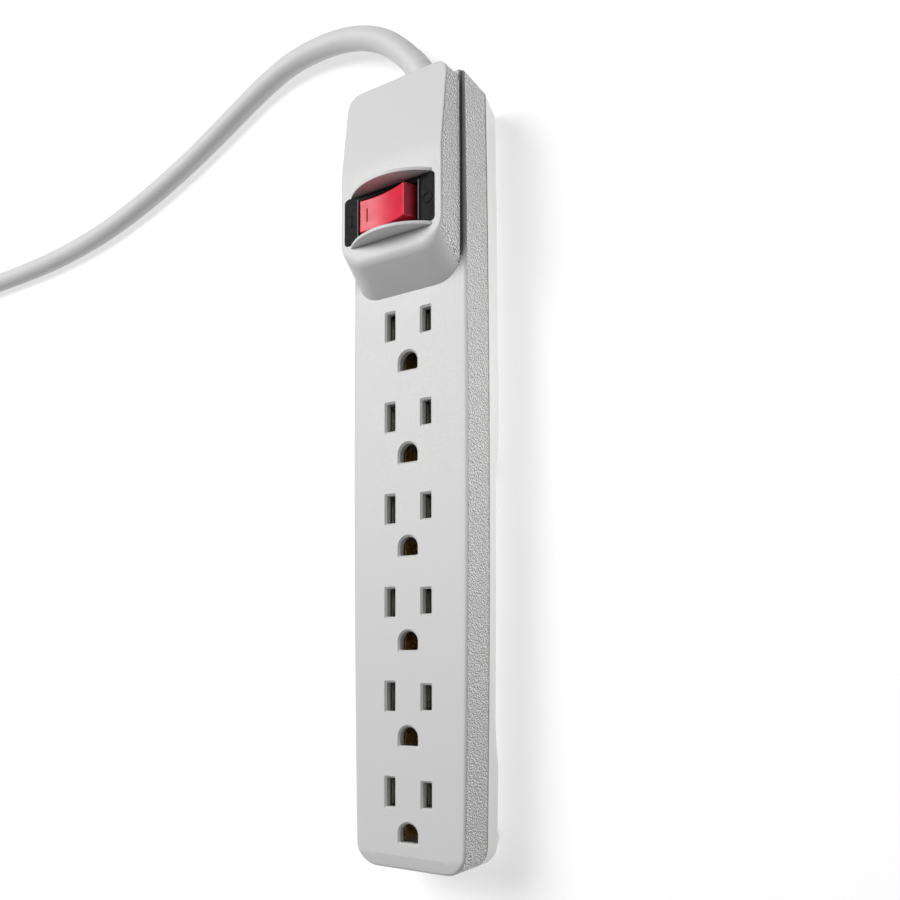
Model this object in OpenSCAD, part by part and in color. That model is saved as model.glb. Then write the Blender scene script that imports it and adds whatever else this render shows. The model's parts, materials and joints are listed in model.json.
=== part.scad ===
// Six-outlet power strip with a resettable rocker breaker and a free cord.
// Lies on its back: +X across, +Y towards the cord, +Z out of the outlets, origin under the middle.

/* [Body] */
// Length of the housing
body_len = 240; // [238:1:250]
// Greatest width of the housing
body_w = 40.6; // [40:0.2:43]
// Height from the back to the outlet face
body_h = 25.5; // [25.5:0.5:28]
// Height of the joint line between the two covers
split_z = 11; // [10.5:0.5:11.5]
// Radius of the housing's corners in plan, away from the cord
corner_r = 7; // [5:0.5:9]
// Radius of the housing's corners in plan, at the cord end
cord_end_r = 2; // [1.6:0.2:4]
// Wall of both covers
wall = 2.2; // [2:0.1:2.4]
// Thickness of the outlet face
face_t = 2.5; // [2.2:0.1:2.6]

/* [Back] */
// Radius of the back's long edges
back_edge_r = 6; // [4:0.5:7]
// Depth of the shallow middle of the back
recess_depth = 2.2; // [1.5:0.1:2.4]
// Radius of a keyhole's entry
keyhole_r = 3.8; // [3.4:0.1:4]
// Width of a keyhole's slot
keyhole_slot_w = 4.2; // [3.6:0.1:4.6]
// Distance between the two keyholes
keyhole_spacing = 115; // [114:0.5:116]

/* [Outlets] */
// Number of outlets
outlet_count = 6; // [6]
// Distance between outlets
outlet_pitch = 28.575; // [28.575]
// Width of a blade slot
slot_w = 3; // [2.6:0.1:3.2]
// Length of the neutral slots
neutral_slot_len = 8.6; // [8.4:0.1:9]
// Length of the hot slots
hot_slot_len = 7.4; // [7:0.1:7.8]
// Radius of a ground hole's round side
ground_hole_r = 3.1; // [2.9:0.1:3.2]

/* [Switch housing] */
// Height of the switch housing over the outlet face
hump_h = 10.4; // [10:0.1:11]
// Width of the switch housing at its foot
hump_w = 36.7; // [36:0.1:37]
// Height of the switch housing over the face at the cord end
hump_end_h = 6.5; // [6:0.5:7]
// Height of the guards over the switch plate
guard_h = 6.2; // [5:0.2:8]
// Thickness of the guards
guard_t = 1.1; // [0.9:0.1:1.3]

/* [Switch] */
// Tilt of the rocker each side of level
rocker_tilt = 8; // [7:0.5:8]
// Length of the rocker
rocker_len = 19.8; // [19.4:0.2:20]
// Width of the rocker
rocker_w = 10; // [9.8:0.1:11]
// Tilt of the contact lever each side of level
lever_tilt = 5; // [4:0.5:5]

/* [Cord] */
// Diameter of the cord
cord_d = 7.8; // [7.8]
// Radius of the coil's outer turn
coil_r = 46; // [46]

/* [Hidden] */

cover_color = [0.86, 0.86, 0.85];
switch_black = [0.10, 0.10, 0.10];
rocker_red = [0.78, 0.13, 0.18];
brass = [0.78, 0.62, 0.32];
tinned = [0.66, 0.65, 0.60];
silver = [0.82, 0.82, 0.80];
steel = [0.66, 0.67, 0.68];
cord_color = [0.84, 0.84, 0.84];

eps = 0.01;
half_len = body_len / 2;
half_w = body_w / 2;
arc_steps = 8;

// The sides bow: the width falls off slowly from its widest place.
widest_y = 25;
side_bow_r = 6500;
function side_x(y) = half_w - pow(y - widest_y, 2) / (2 * side_bow_r);

// Points on an arc, centre c, radius r, from angle a to angle b.
function arc(c, r, a, b, n = arc_steps) =
    [for (i = [0:n]) c + r * [cos(a + (b - a) * i / n), sin(a + (b - a) * i / n)]];

// The back's middle is a shallow recess between two ramps.
recess_y0 = -80;
recess_y1 = 1;
recess_ramp = 7.5;

// Plan outline of the housing, moved inwards by inset. Its sides have a point at each end of a ramp.
side_ys = [-100, recess_y0 - recess_ramp, recess_y0, -60, -40, -20, recess_y1, recess_y1 + recess_ramp,
    25, 50, 70, 90];
function plan(inset, far_r = cord_end_r) =
    let (rb = max(corner_r - inset, 1.5), rt = max(far_r - inset, 1.5),
         yb = inset + rb - half_len, yt = half_len - inset - rt,
         xb = side_x(yb) - inset, xt = side_x(yt) - inset,
         right = concat(arc([xb - rb, yb], rb, -90, 0),
                        [for (y = side_ys) [side_x(y) - inset, y]],
                        arc([xt - rt, yt], rt, 0, 90)),
         n = len(right))
    concat(right, [for (i = [n - 1:-1:0]) [-right[i][0], right[i][1]]]);

// Outlets, numbered from the cord end; the ground hole is on the far side of the blades.
first_outlet_y = 45.5;
blade_x = 6.35;
ground_dy = -11.89;
ground_flat = 2.6;
slot_chamfer = 0.6;
function outlet_y(i) = first_outlet_y - i * outlet_pitch;

// Ribs cross the housing between the outlets and hold the three bus strips.
rib_t = 1.2;
rib_half_w = 9;
rib_dy = -20;
rib_ys = [for (i = [0:outlet_count - 2]) outlet_y(i) + rib_dy];
bus_z = 6;
bus_t = 0.8;
face_in_z = body_h - face_t;

// Screws that hold the covers together, from the back.
screw_x = 14.2;
screw_ys = [-111, 2.64, 111];
screw_seat_z = 4.5;
screw_r = 1.5;

// Switch housing
hump_top_z = body_h + hump_h;
hump_end_z = body_h + hump_end_h;
hump_foot_y = 55;
hump_run = 8;
hump_edge_r = 3.5;
hump_bend_y = 92.5;
hump_draft = 0.5;

// Switch
switch_x = -0.4;
switch_y = 76.9;
plate_half_l = 15.9;
plate_half_w = 7.35;
plate_t = 1.2;
frame_half_l = 14.4;
frame_half_w = 7;
frame_in_l = 13.2;
frame_in_w = 5.75;
opening_half_l = 10.5;
switch_split_z = 22;
base_z = 11.6;
base_floor_t = 1.6;
pivot_z = hump_top_z - 3.9;
trunnion_r = 1.4;
running_gap = 0.05;
lever_z = 17.8;
line_tab_x = -10;
load_tab_x = 8.6;
tab_t = 0.8;
tab_half_w = 3.15;
tab_low_z = 6.5;
contact_x = 6.3;

// Back
floor_t = 2;
keyhole_y = -101;
keyhole_travel = 6.5;

// Cord. The route's points are millimetres in the part's frame.
cord_r = cord_d / 2;
exit_z = split_z;
coil_c = [-301, 78];
coil_z = 4.7;
cord_sides = 10;
relief_route = [[0, 119, 11], [0, 120, 11], [-0.5, 125.4, 11], [-1.9, 130.6, 11], [-4.2, 135.5, 11],
    [-7.3, 139.9, 11]];
cord_route = [[-7.3, 139.9, 11], [-12.8, 146.3, 10.6], [-18.4, 151.4, 10], [-27, 156.8, 9],
    [-38.3, 161.2, 7.5], [-50.8, 163.6, 6], [-63.5, 163.6, 5], [-75.5, 161, 4.2], [-87, 156.6, 3.9],
    [-101, 150.3, 3.9], [-117, 143.6, 3.9], [-134, 137.5, 3.9], [-151, 132.5, 3.9],
    [-168.5, 128.5, 3.9], [-186, 126, 3.9], [-204, 124.5, 3.9], [-222, 124, 3.9],
    [-240, 124, 4], [-258, 124, 4.3], [-280, 124, 4.7], [-301, 124, 4.7]];
tail_route = [[-267, 58, 5.5], [-262.5, 70, 8], [-261, 83, 11], [-264, 96, 12.8],
    [-272, 107.5, 13], [-284, 115.5, 13], [-298, 119.5, 13], [-312, 120.5, 13],
    [-326, 117, 13], [-338.5, 109, 12.5], [-347.5, 98, 11.5], [-353, 85, 10.5],
    [-355, 72, 10], [-355, 60, 10]];

// Plug, lying with its blades towards -Y and its ground pin uppermost.
plug_pos = [-355, 12, 0];
plug_blade_z = 7.5;
plug_ground_z = plug_blade_z + 11.9;
plug_len = 26;
plug_axis_z = 10;

// Frame of a tube at point i of a route: a tangent and two unit normals.
function unit(v) = v / norm(v);
function tangent(p, i) = unit(p[min(i + 1, len(p) - 1)] - p[max(i - 1, 0)]);
function side_dir(t, up) = unit(cross(t, up));

// A tube swept along a route; its radius goes from r0 to r1.
module tube(p, r0, r1, sides, up = [0, 0, 1]) {
    n = len(p);
    points = [for (i = [0:n - 1])
        let (t = tangent(p, i), u = side_dir(t, up), v = cross(u, t), r = r0 + (r1 - r0) * i / (n - 1))
        for (k = [0:sides - 1]) p[i] + r * (cos(360 * k / sides) * u + sin(360 * k / sides) * v)];
    sides_faces = [for (i = [0:n - 2], k = [0:sides - 1])
        let (a = i * sides + k, b = i * sides + (k + 1) % sides)
        each [[a, b, b + sides], [a, b + sides, a + sides]]];
    caps = [[for (k = [sides - 1:-1:0]) k], [for (k = [0:sides - 1]) (n - 1) * sides + k]];
    polyhedron(points, concat(sides_faces, caps), convexity = 6);
}

// A block between two corners.
module block(a, b) {
    translate(a) cube(b - a);
}

// Extrudes an outline drawn in X and Z along Y, from y0 to y1.
module along_y(points, y0, y1) {
    translate([0, y1, 0]) rotate([90, 0, 0]) linear_extrude(y1 - y0) polygon(points);
}

module plan_block(inset, z0, z1) {
    translate([0, 0, z0]) linear_extrude(z1 - z0) polygon(plan(inset));
}

// A solid through plan-like rings of points, from the lowest to the highest.
module loft(rings) {
    n = len(rings[0]);
    last = (len(rings) - 1) * n;
    sides_faces = [for (j = [0:len(rings) - 2], k = [0:n - 1])
        let (a = j * n + k, b = j * n + (k + 1) % n)
        each [[a, b + n, b], [a, a + n, b + n]]];
    rows = [for (i = [0:n / 2 - 2]) [i, i + 1, n - 2 - i, n - 1 - i]];
    top_rows = [for (row = rows) [for (k = [3:-1:0]) row[k] + last]];
    polyhedron([for (ring = rings) each ring], concat(sides_faces, rows, top_rows), convexity = 6);
}

// --- Front cover ---

edge_r = 1;
shadow_in = 0.35;
shadow_h = 0.5;
end_bevel_w = 4.2;
end_bevel_h = 0.9;
end_bevel_low_z = 14;

// Ring of the front at height z; the far end slopes down a little.
function front_ring(inset, z) =
    let (share = max(0, (z - end_bevel_low_z) / (body_h - end_bevel_low_z)))
    [for (p = plan(inset))
        [p[0], p[1], z - share * end_bevel_h * max(0, 1 - (p[1] + half_len) / end_bevel_w)]];

module front_body() {
    top = body_h - edge_r;
    loft(concat([front_ring(shadow_in, split_z), front_ring(shadow_in, split_z + shadow_h),
                 front_ring(0, split_z + shadow_h), front_ring(0, end_bevel_low_z)],
                [for (a = arc([0, 0], edge_r, 0, 90)) front_ring(edge_r - a[0], top + a[1])]));
}

// One level of the switch housing: a thin plate with rounded corners.
module hump_level(z, inset, front_y, back_y, side_in = 0) {
    x = hump_w / 2 - hump_draft * (z - body_h) / hump_h - inset - side_in;
    rf = 8 - inset;
    rb = max(4.5 - inset, 1);
    y0 = front_y + inset;
    y1 = back_y - inset;
    right = concat(arc([x - rf, y0 + rf], rf, -90, 0), arc([x - rb, y1 - rb], rb, 0, 90));
    translate([0, 0, z]) linear_extrude(eps)
        polygon(concat(right, [for (i = [len(right) - 1:-1:0]) [-right[i][0], right[i][1]]]));
}

function hump_front_y(z) = hump_foot_y + hump_run * (z - body_h) / hump_h;

module hump_solid(inset, low_z) {
    roof = hump_top_z - inset;
    turn = atan(hump_h / hump_run);
    cut = hump_edge_r * tan(turn / 2);
    edge_z = hump_top_z - cut * sin(turn);
    hull() {
        hump_level(low_z, inset, hump_front_y(low_z), half_len);
        hump_level(hump_end_z - inset - 0.8, inset, hump_front_y(hump_end_z - 0.8), half_len);
        hump_level(hump_end_z - inset - 0.2, inset, hump_foot_y + 20, half_len - 0.2, 0.2);
        hump_level(hump_end_z - inset, inset, hump_foot_y + 20, half_len - 0.8, 0.8);
        for (i = [0:4]) {
            a = turn * (1 - i / 4);
            y = hump_foot_y + hump_run + cut - hump_edge_r * sin(a);
            dz = hump_edge_r * (1 - cos(a));
            z = roof - dz - eps;
            side = dz < 0.8 ? 0.8 - sqrt(pow(0.8, 2) - pow(0.8 - dz, 2)) : 0;
            hump_level(z, inset, y, hump_bend_y, side);
        }
    }
}

module guard(side) {
    chord = 14.5;
    x = switch_x + 0.7;
    r = (pow(chord, 2) + pow(guard_h, 2)) / (2 * guard_h);
    inner = plate_half_w + 0.15;
    y = switch_y + (side > 0 ? inner : -inner - guard_t);
    intersection() {
        translate([x, y + guard_t, hump_top_z + guard_h - r]) rotate([90, 0, 0])
            cylinder(r = r, h = guard_t, $fn = 128);
        block([x - chord, y - 1, hump_top_z - 1], [x + chord, y + guard_t + 1, hump_top_z + guard_h + 1]);
    }
}

// A blade slot through the face, with a bevelled mouth.
module blade_slot(x, y, len) {
    block([x - slot_w / 2, y - len / 2, face_in_z - 1], [x + slot_w / 2, y + len / 2, body_h + 1]);
    wide = slot_w + 2 * slot_chamfer;
    long = len + 2 * slot_chamfer;
    translate([x, y, body_h + eps]) rotate([180, 0, 0])
        linear_extrude(slot_chamfer, scale = [slot_w / wide, len / long])
            square([wide, long], center = true);
}

// A ground hole's outline: round on the cord side, square on the other.
module ground_outline(r, flat) {
    difference() {
        union() {
            circle(r = r, $fn = 64);
            translate([-r, -r]) square([2 * r, r]);
        }
        translate([-r - 1, -r - 5]) square([2 * r + 2, 5 + r - flat]);
    }
}

mouth_step = 0.06;

// A ground hole through the face, with a bevelled mouth.
module ground_hole(y) {
    mouth_r = ground_hole_r + slot_chamfer;
    translate([0, y, face_in_z - 1]) linear_extrude(face_t + 2) ground_outline(ground_hole_r, ground_flat);
    translate([0, y, body_h + eps]) mirror([0, 0, 1])
        linear_extrude(slot_chamfer, scale = (ground_hole_r + mouth_step) / mouth_r)
            ground_outline(mouth_r, ground_flat + slot_chamfer);
}

clamp_y0 = 101;
clamp_y1 = 106;
clamp_x = 8.5;
clamp_seat_z = 12.5;
clamp_low_z = 4.8;
clamp_roof_z = 32.8;
post_roof_z = 31.4;

// A fine groove along each side of the switch housing's foot.
groove_x = 17.95;
groove_w = 1.1;
groove_d = 1.5;

module foot_groove() {
    for (x = [-groove_x - groove_w, groove_x])
        block([x, hump_foot_y + hump_run, body_h - groove_d], [x + groove_w, half_len + 1, body_h + 0.2]);
}

// Half of this hole is in each cover.
module cord_hole() {
    translate([0, half_len + 1, exit_z]) rotate([90, 0, 0]) cylinder(r = 5.2, h = 5, $fn = 64);
}

module front_supports() {
    for (y = rib_ys)
        block([-rib_half_w, y - rib_t / 2, bus_z + bus_t], [rib_half_w, y + rib_t / 2, face_in_z + 1]);
    for (x = [-screw_x, screw_x], y = screw_ys)
        translate([x, y, split_z])
            cylinder(r = 3.2, h = (y > 60 ? post_roof_z : face_in_z + 1) - split_z, $fn = 48);
    for (x = [-clamp_x, clamp_x])
        translate([x, (clamp_y0 + clamp_y1) / 2, clamp_seat_z])
            cylinder(r = 2.4, h = clamp_roof_z - clamp_seat_z, $fn = 48);
    block([-3.5, clamp_y0, exit_z + cord_r + 0.1], [3.5, clamp_y1, clamp_roof_z]);
}

module front_cover() {
    color(cover_color) difference() {
        union() {
            difference() {
                union() {
                    front_body();
                    hump_solid(0, body_h - 0.5);
                }
                plan_block(wall, split_z - 1, face_in_z);
                hump_solid(wall, face_in_z - 0.5);
            }
            guard(1);
            guard(-1);
            front_supports();
        }
        for (i = [0:outlet_count - 1]) {
            blade_slot(-blade_x, outlet_y(i), neutral_slot_len);
            blade_slot(blade_x, outlet_y(i), hot_slot_len);
            ground_hole(outlet_y(i) + ground_dy);
        }
        translate([switch_x, switch_y, 0]) {
            block([-plate_half_l - 0.15, -plate_half_w - 0.15, hump_top_z - plate_t],
                  [plate_half_l + 0.15, plate_half_w + 0.15, hump_top_z + 1]);
            block([-frame_half_l - 0.2, -frame_half_w - 0.15, switch_split_z],
                  [frame_half_l + 0.2, frame_half_w + 0.15, hump_top_z + 1]);
        }
        for (x = [-screw_x, screw_x], y = screw_ys)
            translate([x, y, split_z - 1]) cylinder(r = screw_r + running_gap, h = 9, $fn = 32);
        for (x = [-clamp_x, clamp_x])
            translate([x, (clamp_y0 + clamp_y1) / 2, clamp_seat_z - 1])
                cylinder(r = 1.3 + running_gap, h = 8.5, $fn = 32);
        foot_groove();
        cord_hole();
    }
}

// --- Back cover ---

// Ring of the back at height z, raised in the recess. The raise and the wider corners at the cord
// end die out towards the joint line.
back_far_r = 6;
function back_ring(inset, z) =
    let (share = min(1, max(0, (split_z - z) / (split_z - back_edge_r))))
    [for (p = plan(inset, cord_end_r + (back_far_r - cord_end_r) * share))
        let (ramp = min((p[1] - recess_y0) / recess_ramp, (recess_y1 - p[1]) / recess_ramp) + 1)
        [p[0], p[1], z + recess_depth * share * min(1, max(0, ramp))]];

module back_solid(inset, lift, z1) {
    r = back_edge_r - inset / 2;
    loft(concat([for (a = arc([0, 0], r, -90, 0)) back_ring(inset + r - a[0], lift + r + a[1])],
                [back_ring(inset, split_z)],
                z1 > split_z ? [back_ring(inset, z1)] : []));
}

// Entry and slot of a keyhole; y is the entry's centre.
module keyhole(y) {
    translate([0, y, -1]) cylinder(r = keyhole_r, h = floor_t + 1, $fn = 64);
    translate([0, y + keyhole_travel, -1]) cylinder(r = keyhole_slot_w / 2, h = floor_t + 1, $fn = 48);
    block([-keyhole_slot_w / 2, y, -1], [keyhole_slot_w / 2, y + keyhole_travel, floor_t]);
}

pocket_top_z = 5.3;

module keyhole_pocket(y, t) {
    block([-4.2 - t, y - 4.2 - t, floor_t - (t > 0 ? 0.5 : 0)],
          [4.2 + t, y + keyhole_travel + 3.2 + t, pocket_top_z - (t > 0 ? 0 : 0.9)]);
}

module back_lip() {
    difference() {
        union() {
            plan_block(wall - 0.1, split_z - 2, split_z);
            plan_block(wall + 0.15, split_z - 1, split_z + 1.6);
        }
        plan_block(wall + 1.1, split_z - 3, split_z + 3);
        for (x = [-screw_x, screw_x], y = screw_ys)
            translate([x, y, split_z]) cylinder(r = 3.7, h = 3, $fn = 48);
    }
}

module back_cover() {
    keyholes = [keyhole_y, keyhole_y + keyhole_spacing];
    color(cover_color) difference() {
        union() {
            difference() {
                back_solid(0, 0, split_z);
                back_solid(wall, floor_t, split_z + 1);
            }
            back_lip();
            for (x = [-screw_x, screw_x], y = screw_ys)
                translate([x, y, 3]) cylinder(r = 4.3, h = split_z - 3, $fn = 48);
            for (y = rib_ys)
                block([-rib_half_w, y - rib_t / 2, y > recess_y1 || y < recess_y0 ? 1 : recess_depth + 1],
                      [rib_half_w, y + rib_t / 2, bus_z]);
            for (y = keyholes)
                keyhole_pocket(y, 1.2);
        }
        for (y = keyholes) {
            keyhole(y);
            keyhole_pocket(y, 0);
        }
        for (x = [-screw_x, screw_x], y = screw_ys)
            translate([x, y, -1]) {
                cylinder(r = 3.3, h = screw_seat_z + 1, $fn = 48);
                cylinder(r = 1.7, h = split_z + 2, $fn = 32);
            }
        cord_hole();
    }
}

// A pan-head screw whose seat is at z and whose shank runs up; the head has a cross recess.
module screw(x, y, z, head_r, head_h, shank_r, len) {
    translate([x, y, z]) difference() {
        union() {
            translate([0, 0, -head_h]) cylinder(r = head_r, h = head_h, $fn = 48);
            cylinder(r = shank_r, h = len, $fn = 32);
        }
        for (a = [0, 90])
            rotate([0, 0, a]) block([-head_r * 0.6, -0.35, -head_h - 1], [head_r * 0.6, 0.35, -head_h * 0.4]);
    }
}

module cover_screws() {
    color(steel) for (x = [-screw_x, screw_x], y = screw_ys)
        screw(x, y, screw_seat_z, 2.9, 2, screw_r, 13.5);
}

// --- Bus strips and their contacts ---

contact_t = 0.5;

// A pair of springy leaves, drawn in X and Z about x = 0, along Y for len.
module leaf_pair(leg, len) {
    n = len(leg);
    outline = concat([for (p = leg) p + [contact_t / 2, 0]],
                     [for (i = [n - 1:-1:0]) leg[i] - [contact_t / 2, 0]]);
    along_y(outline, -len / 2, len / 2);
    mirror([1, 0, 0]) along_y(outline, -len / 2, len / 2);
}

blade_leaf = [[1.35, bus_z + bus_t / 2], [1.35, 14], [0.95, 19.5], [1.6, 22.2]];
ground_leaf = [[2.9, bus_z + bus_t / 2], [2.9, 13], [2.45, 18.5], [3.1, 22.2]];
bus_end_y = 60;

module blade_bus(len) {
    block([-1.6, outlet_y(outlet_count - 1) - len / 2, bus_z], [1.6, bus_end_y, bus_z + bus_t]);
    for (i = [0:outlet_count - 1])
        translate([0, outlet_y(i), 0]) leaf_pair(blade_leaf, len);
}

module hot_bus() {
    color(tinned) translate([blade_x, 0, 0]) blade_bus(6.5);
}

module neutral_bus() {
    color(tinned) translate([-blade_x, 0, 0]) blade_bus(8);
}

module ground_bus() {
    far_y = outlet_y(outlet_count - 1) + ground_dy;
    color(brass) difference() {
        union() {
            block([-1.6, far_y, bus_z], [1.6, bus_end_y, bus_z + bus_t]);
            for (i = [0:outlet_count - 1])
                translate([0, outlet_y(i) + ground_dy, 0]) {
                    block([-3.15, -3.4, bus_z], [3.15, 3.4, bus_z + bus_t]);
                    leaf_pair(ground_leaf, 5);
                }
        }
        for (i = [0:outlet_count - 1])
            translate([0, outlet_y(i) + ground_dy, bus_z - 1]) cylinder(r = 2.55, h = 3, $fn = 48);
    }
}

// --- Switch ---

mark_x = 13.5;

module switch_frame() {
    color(switch_black) translate([switch_x, switch_y, 0]) difference() {
        union() {
            block([-plate_half_l, -plate_half_w, hump_top_z - plate_t],
                  [plate_half_l, plate_half_w, hump_top_z]);
            block([-frame_half_l, -frame_half_w, switch_split_z],
                  [frame_half_l, frame_half_w, hump_top_z - 0.5]);
            for (s = [-1, 1])
                translate([s * (opening_half_l + 0.3), 0, hump_top_z])
                    block([-0.3, -frame_in_w, -0.5], [0.3, frame_in_w, 0.6]);
        }
        block([-frame_in_l, -frame_in_w, switch_split_z - 1], [frame_in_l, frame_in_w, hump_top_z - plate_t]);
        block([-opening_half_l, -frame_in_w, switch_split_z - 1],
              [opening_half_l, frame_in_w, hump_top_z + 2]);
        translate([0, 10, pivot_z]) rotate([90, 0, 0])
            cylinder(r = trunnion_r + running_gap, h = 20, $fn = 48);
        translate([-mark_x, 0, hump_top_z - 0.3]) block([-0.3, -2.2, 0], [0.3, 2.2, 1]);
        translate([mark_x, 0, hump_top_z - 0.3]) difference() {
            cylinder(r = 1.7, h = 1, $fn = 48);
            cylinder(r = 1.15, h = 1, $fn = 48);
        }
    }
}

module switch_base() {
    color(switch_black) translate([switch_x, switch_y, 0]) difference() {
        block([-frame_half_l, -frame_half_w, base_z], [frame_half_l, frame_half_w, switch_split_z]);
        block([-frame_in_l, -frame_in_w, base_z + base_floor_t],
              [frame_in_l, frame_in_w, switch_split_z + 1]);
        for (x = [line_tab_x, load_tab_x])
            block([x - 0.6, -3.4, base_z - 1], [x + 0.6, 3.4, base_z + base_floor_t + 1]);
    }
}

// Places its children in the rocker's own level frame, about its pivot, at rest with -X pressed.
module in_rocker() {
    translate([switch_x, switch_y, pivot_z]) rotate([0, -rocker_tilt, 0]) children();
}

trunnion_end = 6.8;

module rocker() {
    a = rocker_len / 2;
    top = [for (i = [-8:8]) [8.7 * i / 8, 5.3 + 1.2 * pow(i / 8, 2)]];
    skirt = [[a, 2.7], [a - 0.3, 0.2], [4, -4.1], [-4, -4.1], [0.3 - a, 0.2], [-a, 2.7]];
    half = rocker_w / 2;
    color(rocker_red) in_rocker() difference() {
        union() {
            along_y(concat(top, skirt), -half, half);
            translate([0, 0, -10.1]) cylinder(r = 2.6, h = 7, $fn = 48);
            for (s = [-1, 1])
                translate([0, s * (half + trunnion_end) / 2, 0]) rotate([90, 0, 0])
                    cylinder(r = trunnion_r, h = trunnion_end - half + 0.2, center = true, $fn = 48);
            translate([-6.3, 0, 5.6]) rotate([0, 8, 0]) block([-0.3, -2, 0], [0.3, 2, 0.75]);
        }
        for (s = [-1, 1])
            block([s > 0 ? 3.4 : -8.4, -4.3, -6.6], [s > 0 ? 8.4 : -3.4, 4.3, 3.4]);
        translate([0, 0, -10.6]) cylinder(r = 1.6, h = 9.5, $fn = 48);
    }
}

plunger_tip_z = -12.2;
lamp_z = 0.6;

module plunger() {
    color(silver) in_rocker() translate([0, 0, plunger_tip_z]) {
        cylinder(r = 1.25, h = 5.7, $fn = 48);
        sphere(r = 1.25, $fn = 48);
    }
}

module plunger_spring() {
    turns = 5;
    steps = 14;
    r = 1.1;
    coil = [for (i = [0:turns * steps])
        [r * cos(360 * i / steps), r * sin(360 * i / steps), -6.2 + 4.6 * i / (turns * steps)]];
    color(steel) in_rocker() tube(coil, 0.22, 0.22, 6);
}

module neon_lamp() {
    color([0.95, 0.55, 0.35]) in_rocker() translate([-5.9, 0, lamp_z]) rotate([90, 0, 0]) {
        cylinder(r = 1.7, h = 5, center = true, $fn = 48);
        for (s = [-1, 1])
            translate([0, 0, s * 2.5]) sphere(r = 1.7, $fn = 48);
    }
}

module lamp_resistor() {
    color([0.80, 0.70, 0.50]) in_rocker() translate([5.9, 0, lamp_z]) rotate([90, 0, 0]) {
        cylinder(r = 1, h = 5, center = true, $fn = 32);
        cylinder(r = 0.3, h = 8, center = true, $fn = 24);
    }
}

// Places its children about the contact lever's pivot, at rest with +X down on the fixed contact.
module in_lever() {
    translate([switch_x, switch_y, lever_z]) rotate([0, lever_tilt, 0]) children();
}

module contact_lever() {
    color(brass) in_lever() {
        block([-6.5, -2.2, -0.4], [8, 2.2, 0.4]);
        for (s = [-1, 1])
            translate([0, s * 2.6, 0]) rotate([90, 0, 0]) cylinder(r = 1.2, h = 0.8, center = true, $fn = 48);
    }
}

module moving_contact() {
    color(silver) in_lever() translate([contact_x, 0, -1.3]) cylinder(r = 1.6, h = 0.9, $fn = 48);
}

module fixed_contact() {
    color(silver) translate([switch_x + contact_x, switch_y, 14.7]) cylinder(r = 1.6, h = 0.9, $fn = 48);
}

// A flat tab through the base's floor, with a foot at its top.
module load_terminal() {
    color(brass) translate([switch_x, switch_y, 0]) {
        block([load_tab_x - tab_t / 2, -tab_half_w, tab_low_z], [load_tab_x + tab_t / 2, tab_half_w, 14.7]);
        block([4.4, -tab_half_w, 13.9], [load_tab_x + tab_t / 2, tab_half_w, 14.7]);
    }
}

module line_terminal() {
    color(brass) translate([switch_x, switch_y, 0]) {
        block([line_tab_x - tab_t / 2, -tab_half_w, tab_low_z], [line_tab_x + tab_t / 2, tab_half_w, 16]);
        block([line_tab_x - tab_t / 2, -tab_half_w, 15.2], [-6.5, tab_half_w, 16]);
    }
}

module bimetal_strip() {
    color([0.72, 0.60, 0.50]) translate([switch_x, switch_y, 0]) block([-8.8, -2, 16], [-1, 2, 16.5]);
}

module pivot_bracket() {
    color(brass) translate([switch_x, switch_y, 0]) {
        block([-3, -2.5, base_z + base_floor_t], [3, 2.5, 14]);
        block([-0.4, -2, 14], [0.4, 2, 17.2]);
        block([-3, -2.5, 15.2], [-0.4, 2.5, 16]);
        block([-3, -2.5, 13.8], [-2.2, 2.5, 16]);
    }
}

// --- Inner wiring and cord entry ---

wire_r = 1.2;
wire_sides = 8;

module wire(route, tint) {
    color(tint) tube(route, wire_r, wire_r, wire_sides);
}

module line_wire() {
    wire([[-2.1, 98, 10.2], [-2.1, 97.5, 10.2], [-3.4, 95, 10], [-6, 91.5, 9.4], [-8.6, 88.5, 8.8],
          [-10, 85, 8.5],
          [-10, 80.2, 8.5]], [0.12, 0.12, 0.12]);
}

module load_wire() {
    wire([[8.6, 73.6, 8.5], [8.6, 70.5, 8.4], [7.6, 66.5, 8.2], [6.5, 63, 8.15], [6.35, 60, 8.15],
          [6.35, 56, 8.15]], [0.12, 0.12, 0.12]);
}

module neutral_wire() {
    wire([[2.1, 98, 10.2], [2.1, 97.5, 10.2], [1.7, 95, 9.9], [0.6, 91.5, 9], [-1.5, 88, 8.4],
          [-3.5, 83, 8.2],
          [-5, 76, 8.2], [-6, 69, 8.2], [-6.35, 63, 8.15], [-6.35, 56, 8.15]], [0.88, 0.88, 0.86]);
}

module ground_wire() {
    wire([[0, 98, 13.3], [0, 97.5, 13.3], [1.6, 95, 13.2], [4.2, 91.5, 12], [5.2, 88, 9.8], [4.8, 83, 8.3],
          [3, 76, 8.2], [1, 69, 8.2], [0, 63, 8.15], [0, 56, 8.15]], [0.10, 0.45, 0.22]);
}

module cord_clamp() {
    low = clamp_low_z;
    color([0.20, 0.20, 0.20]) difference() {
        union() {
            block([-11.3, clamp_y0, low], [11.3, clamp_y1, exit_z - cord_r - 0.1]);
            for (s = [-1, 1])
                block([s > 0 ? 5.7 : -11.3, clamp_y0, low], [s > 0 ? 11.3 : -5.7, clamp_y1, clamp_seat_z]);
        }
        for (x = [-clamp_x, clamp_x])
            translate([x, (clamp_y0 + clamp_y1) / 2, low - 1]) cylinder(r = 1.5, h = 10, $fn = 32);
    }
}

module clamp_screws() {
    color(steel) for (x = [-clamp_x, clamp_x])
        screw(x, (clamp_y0 + clamp_y1) / 2, clamp_low_z, 2.4, 1.6, 1.3, 13);
}

module jacket_end() {
    color(cord_color) translate([0, 113.2, exit_z]) rotate([90, 0, 0])
        cylinder(r = cord_r, h = 15.2, $fn = 64);
}

relief_r0 = 4.8;
relief_r1 = 4.15;

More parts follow.
